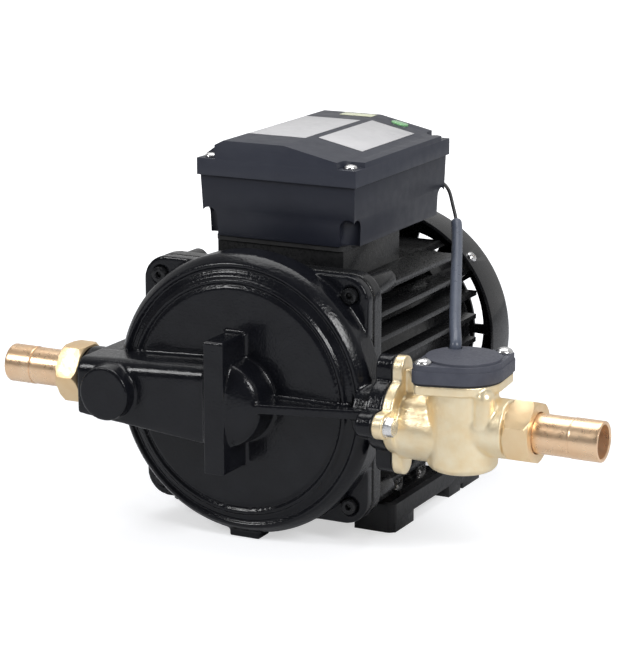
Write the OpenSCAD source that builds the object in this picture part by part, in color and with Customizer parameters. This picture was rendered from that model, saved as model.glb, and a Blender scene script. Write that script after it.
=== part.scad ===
// Shower booster pump: a cast pump head on a fan-cooled motor, with a
// terminal box, a brass flow switch and two union tails. Millimetres.
// X runs along the pipes towards the outlet, Y runs from the pump head
// to the fan, Z is up. The origin is on the floor, at the middle of the
// four foot holes.

/* [Layout] */
// Height of the motor and pipe axis over the floor
axis_h = 71; // [70:0.5:74]
// Place of the square flange's front face along Y
flange_y = -79; // [-80:0.5:-78]
// Place of the pipe axis in front of the flange's front face
pipe_ahead = 8.5; // [8:0.5:9.5]

/* [Base frame] */
// Width of the base frame along X
base_w = 123; // [121:0.5:126]
// Length of the base frame along Y
base_len = 105; // [103:0.5:108]
// Height of the base frame's rim
base_h = 14; // [13:0.5:15]
// Wall of the base frame
base_wall = 4; // [3:0.5:5]
// Thickness of the foot pads
foot_t = 4; // [3:0.5:5]
// Width of each foot pad along X
foot_w = 21; // [19:0.5:24]
// Length of the two front feet along Y
foot_front_len = 23; // [22:0.5:26]
// Length of the two rear feet along Y
foot_rear_len = 40; // [36:0.5:42]
// Height of the arch between the feet
arch_h = 5.8; // [4:0.1:6.2]
// Distance of the foot holes from the base frame's sides
hole_inset_x = 11.5; // [10.5:0.5:12.5]
// Distance of the foot holes from the base frame's ends
hole_inset_y = 12.5; // [11.5:0.5:13.5]
// Diameter of the foot holes
foot_hole_d = 7; // [6:0.1:8]

/* [Square flanges] */
// Side of the square flange and bracket
flange_w = 120; // [118:0.5:122]
// Corner radius of the square flange
flange_corner = 12; // [9:0.5:14]
// Thickness of the casing flange
flange_t = 6; // [5:0.5:7]
// Thickness of the gasket behind the casing flange
gasket_t = 0.8; // [0.5:0.1:1.2]
// Thickness of the motor bracket
bracket_t = 9; // [8:0.5:10]
// Spacing of the four corner screws, both ways
flange_pitch = 102; // [101.5:0.5:103]
// Thread diameter of the corner screws
flange_screw_d = 5; // [4.5:0.1:5]

/* [Pump casing] */
// Outer radius of the round casing
disc_r = 68; // [67:0.5:69]
// Depth of the round casing's outer band
band_depth = 10; // [9:0.5:11]
// Radius of the step in the casing's front
step_r = 62.5; // [61:0.5:64]
// Radius of the casing's raised face
face_r = 55.5; // [54:0.5:57]
// Depth from the flange's front to the raised face
face_depth = 18; // [17.5:0.5:19]
// Radius of the pump chamber
chamber_r = 57; // [56:0.5:58]
// Wall in front of the pump chamber
chamber_wall = 4.5; // [4:0.5:5]
// Radius of the hub
hub_r = 20.8; // [20:0.2:22]
// Depth from the raised face to the front of bar and arm
arm_depth = 22; // [21:0.5:23]
// Width of the upright bar
bar_w = 10.6; // [9:0.2:12]
// Height of the upright bar
bar_h = 63.6; // [60:0.2:66]
// Half height of the suction arm at the hub
arm_hub_half = 19; // [17:0.5:20]
// Half height of the suction arm at its outer end
arm_end_half = 13.5; // [12.5:0.5:14.5]
// Place of the suction arm's outer end, left of the axis
arm_end_x = 75; // [74:0.5:76]
// Radius of the round pad on the arm's front
pad_r = 13; // [12:0.5:13.5]
// Height of the round pad over the arm's front
pad_h = 6; // [5:0.5:7]
// Thickness of the flat rib between hub and outlet
rib_t = 4.5; // [4:0.5:6]
// Radius of the discharge stub
stub_r = 13; // [12.5:0.5:13.5]

/* [Pipe unions] */
// Radius of the water way
way_r = 9; // [8:0.25:9.5]
// Outer radius of the union's male thread
union_r = 12.2; // [12:0.1:12.4]
// Place of the suction thread's end, left of the axis
port_end_x = 91; // [90.5:0.5:92]
// Place of the flow switch thread's end, right of the axis
switch_end_x = 142.5; // [142:0.5:144]
// Width across the flats of a union nut
nut_af = 27; // [26.5:0.5:29]
// Length of a union nut
nut_len = 12; // [11.5:0.5:12.5]
// Thickness of the nut's inner lip
nut_lip = 2.5; // [2:0.25:3]
// Radius of the collar on a tail
collar_r = 11.6; // [11.4:0.1:11.7]
// Thickness of the collar on a tail
collar_t = 2.6; // [2:0.2:3]
// Thickness of a union washer
washer_t = 1.6; // [1.2:0.2:2]
// Outer radius of a tail's end
tail_end_r = 9.35; // [9.3:0.05:9.6]
// Outer radius of a tail between its nut and its end
tail_r = 9.15; // [8.9:0.05:9.15]
// Bore radius of a tail
tail_bore_r = 7.7; // [7:0.1:8]
// Length of a tail's turned end
tail_end_len = 14; // [13:0.5:15]
// Length of the suction tail from its washer to its end
suction_tail_len = 38; // [36:0.5:42]
// Length of the discharge tail from its washer to its end
discharge_tail_len = 36.5; // [34:0.5:38]

/* [Flow switch] */
// Place of the black discharge flange's mating face
joint_x = 79; // [78.5:0.5:80]
// Radius of the round part of the four-lobed flanges
lobe_core_r = 18; // [17:0.5:19]
// Distance of the lobes from the pipe axis
lobe_pitch_r = 22.2; // [21.5:0.1:23]
// Radius of each lobe
lobe_r = 6; // [5.5:0.25:6.5]
// Thickness of the black flange behind the lobes
black_flange_t = 8; // [7:0.5:9]
// Thickness of the brass flange
brass_flange_t = 5; // [4.5:0.5:6]
// Place of the switch's upright axis, right of the pump axis
switch_x = 112.5; // [112:0.5:113]
// Outer radius of the switch body
switch_r = 16.2; // [15.6:0.2:17]
// Wall of the switch body
switch_wall = 3.2; // [2.6:0.2:3.6]
// Height of the switch body over the pipe axis
switch_top = 21; // [20:0.5:22]
// Depth of the switch body under the pipe axis
switch_low = 21.5; // [20:0.5:22.5]
// Thickness of the cover seal
cover_seal_t = 1; // [0.8:0.1:1.4]
// Thickness of the switch cover
cover_t = 9.5; // [9:0.5:11]
// Radius of the round part of the switch cover
cover_r = 19; // [18.4:0.2:20]
// Distance of the cover screws from the switch axis
cover_screw_r = 21.5; // [21:0.1:22]
// Bearing of the cover screws from the pipe axis
cover_screw_angle = 55; // [45:1:60]
// Radius of the flow flap
flap_r = 10; // [9.6:0.1:10.4]
// Thickness of the flow flap
flap_t = 2; // [1.6:0.2:2.4]
// Radius of the flap's hinge pin
flap_pin_r = 1.2; // [1:0.1:1.4]

/* [Motor] */
// Length of the finned housing
housing_len = 123; // [121:0.5:124]
// Outer radius of the housing's round core
core_r = 48.5; // [48:0.5:49]
// Bore radius of the housing
bore_r = 45.5; // [45:0.25:46]
// Half width over the fins
fin_reach = 54.5; // [53.5:0.5:56]
// Spacing of the fins
fin_pitch = 12.2; // [12:0.1:12.4]
// Thickness of a fin
fin_t = 2.4; // [2:0.2:3]
// Radius that the fins are turned down to under the cowl
fin_turned_r = 60; // [59:0.5:61]
// Length of the turned part
turned_len = 27; // [25:0.5:30]
// Half width of the pedestal under the terminal box
pedestal_half_w = 34; // [33:0.5:35]
// Length of the pedestal
pedestal_len = 62; // [60:0.5:64]
// Height of the pedestal's top over the motor axis
pedestal_top = 65; // [64.5:0.5:66]
// Place of the stator core behind the housing's front
stator_ahead = 27; // [26:0.5:28]
// Room between the stator core and the housing's rear
stator_behind = 30; // [29:0.5:32]
// Bore radius of the stator core
stator_bore_r = 26; // [25:0.5:27]
// Gap between stator and rotor
air_gap = 0.4; // [0.35:0.05:0.6]
// Radius of the motor shaft
shaft_r = 6; // [6:0.1:6.2]
// Outer radius of the bearings
bearing_r = 16; // [15.5:0.5:16.5]
// Width of the bearings
bearing_w = 10; // [9:0.5:11]

/* [Cowl and fan] */
// Outer radius of the fan cowl
cowl_r = 65.2; // [64.8:0.2:66]
// Wall of the fan cowl
cowl_wall = 1.6; // [1.2:0.1:2]
// Length of the fan cowl
cowl_len = 24.5; // [24:0.5:26]
// Radius of the bend at the cowl's rear rim
cowl_bend = 5; // [4:0.5:6]
// Outer radius of the fan
fan_r = 43; // [40:0.5:44]
// Length of the fan blades
fan_blade_len = 8; // [7:0.5:8.5]
// Number of fan blades
fan_blades = 9; // [7:1:11]

/* [Terminal box] */
// Place of the box's front face behind the casing flange's front
box_ahead = 22; // [21:0.5:23]
// Half width of the lid
lid_half_w = 42.7; // [42:0.1:43.5]
// Length of the lid
lid_len = 107; // [105:0.5:109]
// Height of the box body
box_body_h = 29.5; // [29:0.5:31]
// Wall of the box body and lid
box_wall = 2.5; // [2:0.1:3]
// Height of the lid's rim band
lid_band_h = 9; // [8:0.5:10]
// Rise of the lid's crest over its band
lid_crest_h = 8.5; // [7:0.5:9]
// Thickness of the box gasket
box_gasket_t = 2.4; // [2:0.2:3]
// Radius of the run capacitor
capacitor_r = 14; // [12:0.5:14.5]
// Room between the box's front and the circuit board
board_ahead = 14; // [13.5:0.5:15]
// Room between the circuit board and the box's rear
board_behind = 15; // [15:0.5:17]

/* [Lead] */
// Radius of the grey sleeve over the switch lead
sleeve_r = 2.7; // [2.5:0.1:3]
// Radius of the black switch lead
lead_r = 0.9; // [0.8:0.1:1.1]

/* [Hidden] */
$fn = 64;

// Overrun of every cut past the face that it leaves
over = 1;
// Radial gap of a fixed fit
fit = 0.03;
// Gap between a moving piece and a fixed one beside it
run_gap = 0.4;
// Gap of a plain bearing on its pin, on the radius
pin_gap = 0.05;
// Radius of a screw's hole over the screw's own radius
screw_gap = 0.25;

// Planes along Y, from the pump head to the fan
pipe_y = flange_y - pipe_ahead;
face_y = flange_y - face_depth;
arm_y = face_y - arm_depth;
gasket_y = flange_y + flange_t;
bracket_y = gasket_y + gasket_t;
housing_y = bracket_y + bracket_t;
housing_end_y = housing_y + housing_len;
shield_t = 6;
shield_end_y = housing_end_y + shield_t;
cowl_lap = 2;
cowl_y = housing_end_y - cowl_lap;
cowl_end_y = cowl_y + cowl_len;

// Terminal box
box_y = flange_y + box_ahead;
box_z = axis_h + pedestal_top + box_gasket_t;
lid_z = box_z + box_body_h;
body_top_half = lid_half_w - 1.2;
body_low_half = lid_half_w - 2.3;
body_inset = 1.5;
body_low_len = lid_len - 5;
lid_floor_z = lid_z + lid_band_h;

module at_axis(y) {
    translate([0, y, axis_h]) rotate([-90, 0, 0]) children();
}

module at_pipe(x) {
    translate([x, pipe_y, axis_h]) rotate([0, 90, 0]) children();
}

module at_switch(z) {
    translate([switch_x, pipe_y, axis_h + z]) children();
}

module tube(outer, inner, h) {
    difference() {
        cylinder(r = outer, h = h);
        translate([0, 0, -over]) cylinder(r = inner, h = h + 2 * over);
    }
}

module rounded_slab(w, l, h, r) {
    linear_extrude(h) {
        square([w - 2 * r, l], center = true);
        square([w, l - 2 * r], center = true);
        for (sx = [-1, 1], sy = [-1, 1])
            translate([sx * (w / 2 - r), sy * (l / 2 - r)]) circle(r = r);
    }
}

module at_corners(pitch_x, pitch_y) {
    for (sx = [-1, 1], sy = [-1, 1])
        translate([sx * pitch_x / 2, sy * pitch_y / 2, 0]) children();
}

module spread(count) {
    for (i = [0:count - 1]) rotate(i * 360 / count) children();
}

// A socket cap screw, its head above z = 0 and its shank below
module cap_screw(d, len) {
    head_r = d * 0.75;
    key_r = d * 0.29;
    difference() {
        union() {
            cylinder(r = head_r, h = d);
            translate([0, 0, -len]) cylinder(r = d / 2, h = len + d / 2);
        }
        translate([0, 0, d / 2]) cylinder(r = key_r * 2 / sqrt(3), h = d, $fn = 6);
    }
}

// A pan head screw with a cross slot, its head above z = 0
module pan_screw(d, len) {
    head_r = d * 0.95;
    head_h = d * 0.6;
    slot = d * 0.2;
    difference() {
        union() {
            rotate_extrude() polygon([
                [0, 0], [head_r, 0], [head_r, head_h * 0.45], [head_r * 0.8, head_h * 0.85],
                [head_r * 0.45, head_h], [0, head_h]
            ]);
            translate([0, 0, -len]) cylinder(r = d / 2, h = len + head_h / 3);
        }
        for (a = [0, 90]) rotate(a)
            translate([-head_r * 0.55, -slot / 2, head_h * 0.5])
                cube([head_r * 1.1, slot, head_h]);
    }
}

// A hexagon bolt with its washer face, its head above z = 0
module hex_bolt(d, len) {
    af = d * 1.6;
    head_h = d * 0.7;
    washer_h = d * 0.12;
    cylinder(r = af * 0.62, h = washer_h);
    translate([0, 0, washer_h]) intersection() {
        cylinder(r = af / sqrt(3), h = head_h, $fn = 6);
        rotate_extrude() polygon([
            [0, 0], [af / sqrt(3), 0], [af / sqrt(3), head_h * 0.8],
            [af * 0.48, head_h], [0, head_h]
        ]);
    }
    translate([0, 0, -len]) cylinder(r = d / 2, h = len + washer_h / 2);
}

/* BASE */
ledge_z = arch_h;
ledge_t = 3;
ledge_w = 20;
ledge_y0 = -26;
ledge_y1 = 22;
base_screw_inset = 16.5;
leg_inset = 7;
foot_inset = 9.5;
hole_pitch_x = base_w - 2 * hole_inset_x;
hole_pitch_y = base_len - 2 * hole_inset_y;
housing_screw_x = base_w / 2 - base_screw_inset;
housing_screw_ys = [-16, 11];
housing_foot_t = 3.5;
housing_screw_d = 5;
notch_len = 3;
notch_h = 3;

module base_frame() {
    inner_w = base_w - 2 * base_wall;
    inner_len = base_len - 2 * base_wall;
    arch_y0 = -base_len / 2 + foot_front_len;
    arch_y1 = base_len / 2 - foot_rear_len;
    color("#1b1c1e") difference() {
        union() {
            difference() {
                rounded_slab(base_w, base_len, base_h, base_wall);
                translate([-inner_w / 2, -inner_len / 2, -over])
                    cube([inner_w, inner_len, base_h + 2 * over]);
            }
            for (s = [-1, 1]) {
                translate([s * (base_w - foot_w) / 2 - foot_w / 2, 0, 0]) {
                    translate([0, -base_len / 2 + base_wall / 2, 0])
                        cube([foot_w, foot_front_len - base_wall / 2, foot_t]);
                    translate([0, arch_y1, 0])
                        cube([foot_w, foot_rear_len - base_wall / 2, foot_t]);
                }
                translate([s * (inner_w - ledge_w) / 2 - ledge_w / 2, ledge_y0, ledge_z])
                    cube([ledge_w, ledge_y1 - ledge_y0, ledge_t]);
            }
        }
        translate([-base_w / 2 - over, arch_y0, -over])
            cube([base_w + 2 * over, arch_y1 - arch_y0, arch_h + over]);
        translate([-base_w / 2 + foot_w, -base_len / 2 - over, -over])
            cube([base_w - 2 * foot_w, base_len + 2 * over, arch_h + over]);
        translate([-base_w / 2 - over, arch_y1 + foot_rear_len * 0.35, -over])
            cube([base_w + 2 * over, notch_len, notch_h + over]);
        translate([0, 0, -over]) at_corners(hole_pitch_x, hole_pitch_y)
            cylinder(r = foot_hole_d / 2, h = foot_t + 2 * over);
        for (s = [-1, 1], y = housing_screw_ys)
            translate([s * housing_screw_x, y, ledge_z - over])
                cylinder(r = housing_screw_d / 2, h = ledge_t + 2 * over);
    }
}

module housing_screws() {
    color("#b9bcc0") for (s = [-1, 1], y = housing_screw_ys)
        translate([s * housing_screw_x, y, ledge_z + ledge_t + housing_foot_t])
            cap_screw(housing_screw_d - 2 * fit, housing_foot_t + ledge_t);
}

/* MOTOR */
fin_rows = [-4:4];
shield_lug_r = 51.5;
shield_lug_angle = 40;
lug_size = 5;
corner_boss_r = axis_h - flange_pitch / 2 - base_h - run_gap;
corner_boss_len = 22;
corner_screw_len = flange_t + gasket_t + bracket_t + corner_boss_len * 0.6;
leg_t = 5;
leg_x = housing_screw_x - leg_inset;
foot_reach = base_w / 2 - foot_inset;
pedestal_ahead = 11;
pedestal_wall = 5;

module at_lugs() {
    for (a = [shield_lug_angle, 180 - shield_lug_angle,
              180 + shield_lug_angle, -shield_lug_angle])
        rotate(a) children();
}

module fin_block() {
    intersection() {
        union() {
            for (i = fin_rows)
                translate([-fin_reach, i * fin_pitch - fin_t / 2, 0])
                    cube([2 * fin_reach, fin_t, housing_len]);
        }
        union() {
            translate([-fin_reach - over, -flange_w / 2, 0])
                cube([2 * (fin_reach + over), flange_w, housing_len - turned_len]);
            cylinder(r = fin_turned_r, h = housing_len);
        }
    }
}

module motor_housing() {
    ped_y = housing_y + pedestal_ahead;
    foot_z = ledge_z + ledge_t;
    foot_y0 = ledge_y0 + over;
    foot_len = ledge_y1 - ledge_y0 - 2 * over;
    color("#17181a") difference() {
        union() {
            at_axis(housing_y) {
                cylinder(r = core_r, h = housing_len);
                fin_block();
                translate([0, 0, housing_len - turned_len]) at_lugs()
                    translate([core_r - lug_size, -lug_size, 0])
                        cube([shield_lug_r - core_r + 2 * lug_size, 2 * lug_size, turned_len]);
                at_corners(flange_pitch, flange_pitch)
                    cylinder(r = corner_boss_r, h = corner_boss_len);
            }
            translate([-pedestal_half_w, ped_y, axis_h + core_r * 0.6])
                cube([2 * pedestal_half_w, pedestal_len, pedestal_top - core_r * 0.6]);
            for (s = [-1, 1]) {
                translate([s * leg_x - leg_t / 2, foot_y0, foot_z])
                    cube([leg_t, foot_len, axis_h - foot_z - core_r * 0.5]);
                translate([s > 0 ? leg_x - leg_t / 2 : -foot_reach, foot_y0, foot_z])
                    cube([foot_reach - leg_x + leg_t / 2, foot_len, housing_foot_t]);
            }
        }
        at_axis(housing_y - over) cylinder(r = bore_r, h = housing_len + 2 * over);
        translate([-pedestal_half_w + pedestal_wall, ped_y + pedestal_wall, axis_h])
            cube([2 * (pedestal_half_w - pedestal_wall), pedestal_len - 2 * pedestal_wall,
                  pedestal_top + over]);
        for (s = [-1, 1], y = housing_screw_ys)
            translate([s * housing_screw_x, y, foot_z - over])
                cylinder(r = housing_screw_d / 2 + screw_gap, h = housing_foot_t + 2 * over);
        at_axis(housing_y - over) at_corners(flange_pitch, flange_pitch)
            cylinder(r = flange_screw_d / 2, h = corner_boss_len * 0.8 + over);
        at_axis(housing_end_y - lug_screw_len) at_lugs()
            translate([shield_lug_r, 0, 0])
                cylinder(r = lug_screw_d / 2, h = lug_screw_len + over);
        for (sx = [-1, 1], sy = [-1, 1])
            translate([sx * box_fix_x, box_fix_y + sy * box_fix_pitch / 2,
                       axis_h + pedestal_top - box_fix_len])
                cylinder(r = box_fix_d / 2, h = box_fix_len + over);
    }
}

lug_screw_d = 4;
lug_screw_len = 14;
box_fix_d = 4;
box_fix_len = 12;
box_fix_x = pedestal_half_w - pedestal_wall / 2 - 4;
box_fix_pitch = pedestal_len - pedestal_wall - 8;
box_fix_y = housing_y + pedestal_ahead + pedestal_len / 2;

module motor_bracket() {
    boss_r = bearing_r + 4;
    boss_len = slinger_room + bearing_w + 1.5;
    color("#121316") difference() {
        union() {
            at_axis(bracket_y) rounded_slab(flange_w, flange_w, bracket_t, flange_corner);
            at_axis(bracket_y) cylinder(r = boss_r, h = bracket_t + boss_len);
            at_axis(bracket_y + bracket_t / 2) tube(bore_r - fit, bore_r - 5, bracket_t);
        }
        at_axis(bracket_y - over) at_corners(flange_pitch, flange_pitch)
            cylinder(r = flange_screw_d / 2 + screw_gap, h = bracket_t + 2 * over);
        at_axis(bracket_y - over) cylinder(r = seat_r + fit, h = seat_t + over);
        at_axis(bracket_y) cylinder(r = shaft_r + 2, h = bracket_t + boss_len + over);
        at_axis(bracket_y + bracket_t - 1) cylinder(r = slinger_r + 1.5, h = slinger_room + 1 + over);
        at_axis(front_bearing_y) cylinder(r = bearing_r + fit, h = bearing_w + 1.5 + over);
        translate([-4, bracket_y + bracket_t + 1, axis_h - boss_r - over])
            cube([8, slinger_room - 2, boss_r]);
    }
}

seat_r = 12.5;
seat_t = 4;
slinger_r = 10.5;
slinger_room = 5;
front_bearing_y = bracket_y + bracket_t + slinger_room;
rear_bearing_y = housing_end_y - bearing_w + 2;

module bearing_outer(y) {
    color("#9a9da1") at_axis(y) {
        tube(bearing_r, bearing_r - 3.2, bearing_w);
        for (z = [0.6, bearing_w - 1.4]) translate([0, 0, z])
            tube(bearing_r - 3, shaft_r + 2.6 + run_gap, 0.8);
    }
}

module bearing_inner(y) {
    color("#c9cbce") at_axis(y) tube(shaft_r + 2.6, shaft_r + fit, bearing_w);
}

module front_bearing_outer() { bearing_outer(front_bearing_y); }
module rear_bearing_outer() { bearing_outer(rear_bearing_y); }
module front_bearing_inner() { bearing_inner(front_bearing_y); }
module rear_bearing_inner() { bearing_inner(rear_bearing_y); }

module seal_seat() {
    color("#e8e4da") at_axis(bracket_y) tube(seat_r, shaft_r + run_gap, seat_t);
}

stator_y = housing_y + stator_ahead;
stator_len = housing_len - stator_ahead - stator_behind;
winding_len = 13;

module stator_core() {
    slots = 24;
    color("#7d7f82") at_axis(stator_y) difference() {
        cylinder(r = bore_r - fit, h = stator_len);
        translate([0, 0, -over]) cylinder(r = stator_bore_r, h = stator_len + 2 * over);
        spread(slots) translate([stator_bore_r + 1.6, -1.9, -over])
            cube([9, 3.8, stator_len + 2 * over]);
    }
}

module stator_windings() {
    color("#a4562c") for (y = [stator_y - winding_len, stator_y + stator_len])
        at_axis(y) rotate_extrude() polygon([
            [stator_bore_r + 2, winding_len * 0.2], [stator_bore_r + 5, 0],
            [bore_r - 6, 0], [bore_r - 3, winding_len * 0.2],
            [bore_r - 3, winding_len * 0.8], [bore_r - 6, winding_len],
            [stator_bore_r + 5, winding_len], [stator_bore_r + 2, winding_len * 0.8]
        ]);
}

module rotor_core() {
    end_ring = 5;
    color("#8d8f92") at_axis(stator_y - end_ring)
        tube(stator_bore_r - air_gap, shaft_r + fit, stator_len + 2 * end_ring);
}

// The ears stop where their square corners meet the round cowl
ear_reach = sqrt(pow(cowl_r - cowl_wall, 2) - pow(lug_size, 2)) - fit;

module rear_shield() {
    boss_r = bearing_r + 4;
    color("#17181a") difference() {
        union() {
            at_axis(housing_end_y) {
                cylinder(r = core_r, h = shield_t);
                at_lugs() translate([core_r - lug_size, -lug_size, 0])
                    cube([ear_reach - core_r + lug_size, 2 * lug_size, shield_t]);
            }
            at_axis(housing_end_y - 4) tube(bore_r - fit, bore_r - 5, 4 + shield_t / 2);
            at_axis(rear_bearing_y - 1.5) cylinder(r = boss_r, h = bearing_w + 1.5);
        }
        at_axis(rear_bearing_y - 1.5 - over)
            cylinder(r = bearing_r + fit, h = bearing_w + 1.5 + over);
        at_axis(housing_end_y) cylinder(r = shaft_r + run_gap, h = shield_t + over);
        at_axis(housing_end_y - over) at_lugs() translate([shield_lug_r, 0, 0])
            cylinder(r = lug_screw_d / 2 + screw_gap, h = shield_t + 2 * over);
        at_axis(housing_end_y + shield_t / 2) at_lugs() translate([cowl_r - 8, 0, 0])
            rotate([0, 90, 0]) cylinder(r = cowl_screw_d / 2, h = 8);
    }
}

module shield_screws() {
    color("#b9bcc0") at_axis(shield_end_y) at_lugs() translate([shield_lug_r, 0, 0])
        pan_screw(lug_screw_d - 2 * fit, lug_screw_len + shield_t - 2);
}

/* COWL AND FAN */
cowl_screw_d = 3;
slot_ring_rs = [29, 38, 47];
slot_half_w = 2.6;
slot_angles = [[3, 33], [60, 76]];

module fan_cowl() {
    inner_r = cowl_r - cowl_wall;
    color("#101113") at_axis(cowl_y) difference() {
        union() {
            cylinder(r = cowl_r, h = cowl_len - cowl_bend);
            translate([0, 0, cowl_len - cowl_bend]) rotate_extrude() intersection() {
                union() {
                    square([cowl_r - cowl_bend, cowl_bend]);
                    translate([cowl_r - cowl_bend, 0]) circle(r = cowl_bend);
                }
                square([cowl_r, cowl_bend]);
            }
        }
        translate([0, 0, -over]) cylinder(r = inner_r, h = cowl_len - cowl_bend + over);
        translate([0, 0, cowl_len - cowl_bend - over]) rotate_extrude()
            square([cowl_r - cowl_bend, cowl_bend - cowl_wall + over]);
        for (r = slot_ring_rs, a = slot_angles, sx = [0, 1], sy = [0, 1])
            mirror([sx, 0, 0]) mirror([0, sy, 0]) slot_arc(r, a[0], a[1]);
        translate([0, 0, cowl_lap + shield_t / 2]) at_lugs()
            rotate([0, 90, 0]) cylinder(r = cowl_screw_d / 2 + screw_gap, h = cowl_r + over);
    }
}

module slot_arc(r, from, to) {
    translate([0, 0, cowl_len - cowl_wall - over]) rotate(from)
        rotate_extrude(angle = to - from) translate([r - slot_half_w, 0])
            square([2 * slot_half_w, cowl_wall + 2 * over]);
}

module cowl_screws() {
    color("#c4c6c8") at_axis(housing_end_y + shield_t / 2) at_lugs()
        translate([cowl_r, 0, 0]) rotate([0, 90, 0]) pan_screw(cowl_screw_d - 2 * fit, 6);
}

fan_y = shield_end_y + 2.5;
fan_disc_t = 1.6;
fan_hub_r = 10;
fan_len = fan_disc_t + fan_blade_len;
blade_t = 1.8;

module fan() {
    color("#202225") at_axis(fan_y) difference() {
        union() {
            cylinder(r = fan_r - 6, h = fan_disc_t);
            cylinder(r = fan_hub_r, h = fan_len);
            spread(fan_blades) translate([fan_hub_r - 1, -blade_t / 2, 0])
                cube([fan_r - fan_hub_r + 1, blade_t, fan_len]);
        }
        translate([0, 0, -over]) cylinder(r = shaft_r + fit, h = fan_len + 2 * over);
    }
}

module fan_clip() {
    color("#5c5e61") at_axis(fan_y + fan_len + 0.1) difference() {
        tube(shaft_r + 2.2, shaft_r + fit, 1);
        translate([0, -1.5, -over]) cube([shaft_r + 4, 3, 1 + 2 * over]);
    }
}

/* PUMP HEAD */
chamber_front_y = face_y + chamber_wall;
port_r = 14;
pad_step = 0.6;
nut_clear = 1.5;
nut_play = 0.3;
nut_reach = nut_len - washer_t - collar_t - nut_lip - nut_play;
boss_lobe_r = lobe_r - 0.3;
foot_half_w = 8;
foot_depth = 11;
foot_rise = 9;
counterbore_d = flange_screw_d * 1.5 + 2 * screw_gap;
counterbore_t = 3;
arm_cover = 4.5;
arm_edge = 7;
bar_proud = 1.5;
arm_rise = 1.6;
arm_block = 14;
pad_inset = 6;
front_y = arm_y + bar_proud;
dome_h = 7.4;
dome_back = 1.6;
dome_steps = 10;
throat_r = 5.2;
throat_y = pipe_y + 1.5;
stub_start = 6;
ridge = 1.2;

// Front view of the arm from the hub to its outer end, X right and Z up
module arm_outline(grow) {
    polygon([
        [0, arm_hub_half + grow], [0, -arm_hub_half - grow],
        [-arm_end_x - grow, arm_rise - arm_end_half - grow],
        [-arm_end_x - grow, arm_rise + arm_end_half + grow]
    ]);
}

// Section of the arm along X: its top and bottom front edges are rounded
module arm_body() {
    intersection() {
        translate([0, face_y + over, axis_h]) rotate([90, 0, 0])
            linear_extrude(arm_depth - bar_proud + over) arm_outline(0);
        union() {
            translate([-arm_end_x, front_y + arm_edge, axis_h - 2 * arm_hub_half])
                cube([arm_end_x, arm_depth, 4 * arm_hub_half]);
            hull() for (s = [0, 1]) {
                translate([0, front_y + arm_edge, 0]) {
                    translate([-s * arm_end_x, 0, axis_h + (s > 0 ? arm_rise + arm_end_half : arm_hub_half)
                               - arm_edge])
                        rotate([0, 90, 0]) cylinder(r = arm_edge, h = fit, $fn = 32);
                    translate([-s * arm_end_x, 0, axis_h + (s > 0 ? arm_rise - arm_end_half : -arm_hub_half)
                               + arm_edge / 2])
                        rotate([0, 90, 0]) cylinder(r = arm_edge, h = fit, $fn = 32);
                }
            }
        }
    }
}

module lobes(core, lobe) {
    circle(r = core);
    for (a = [0:90:270]) rotate(a) {
        translate([lobe_pitch_r, 0]) circle(r = lobe);
        translate([0, -lobe]) square([lobe_pitch_r, 2 * lobe]);
    }
}

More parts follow.
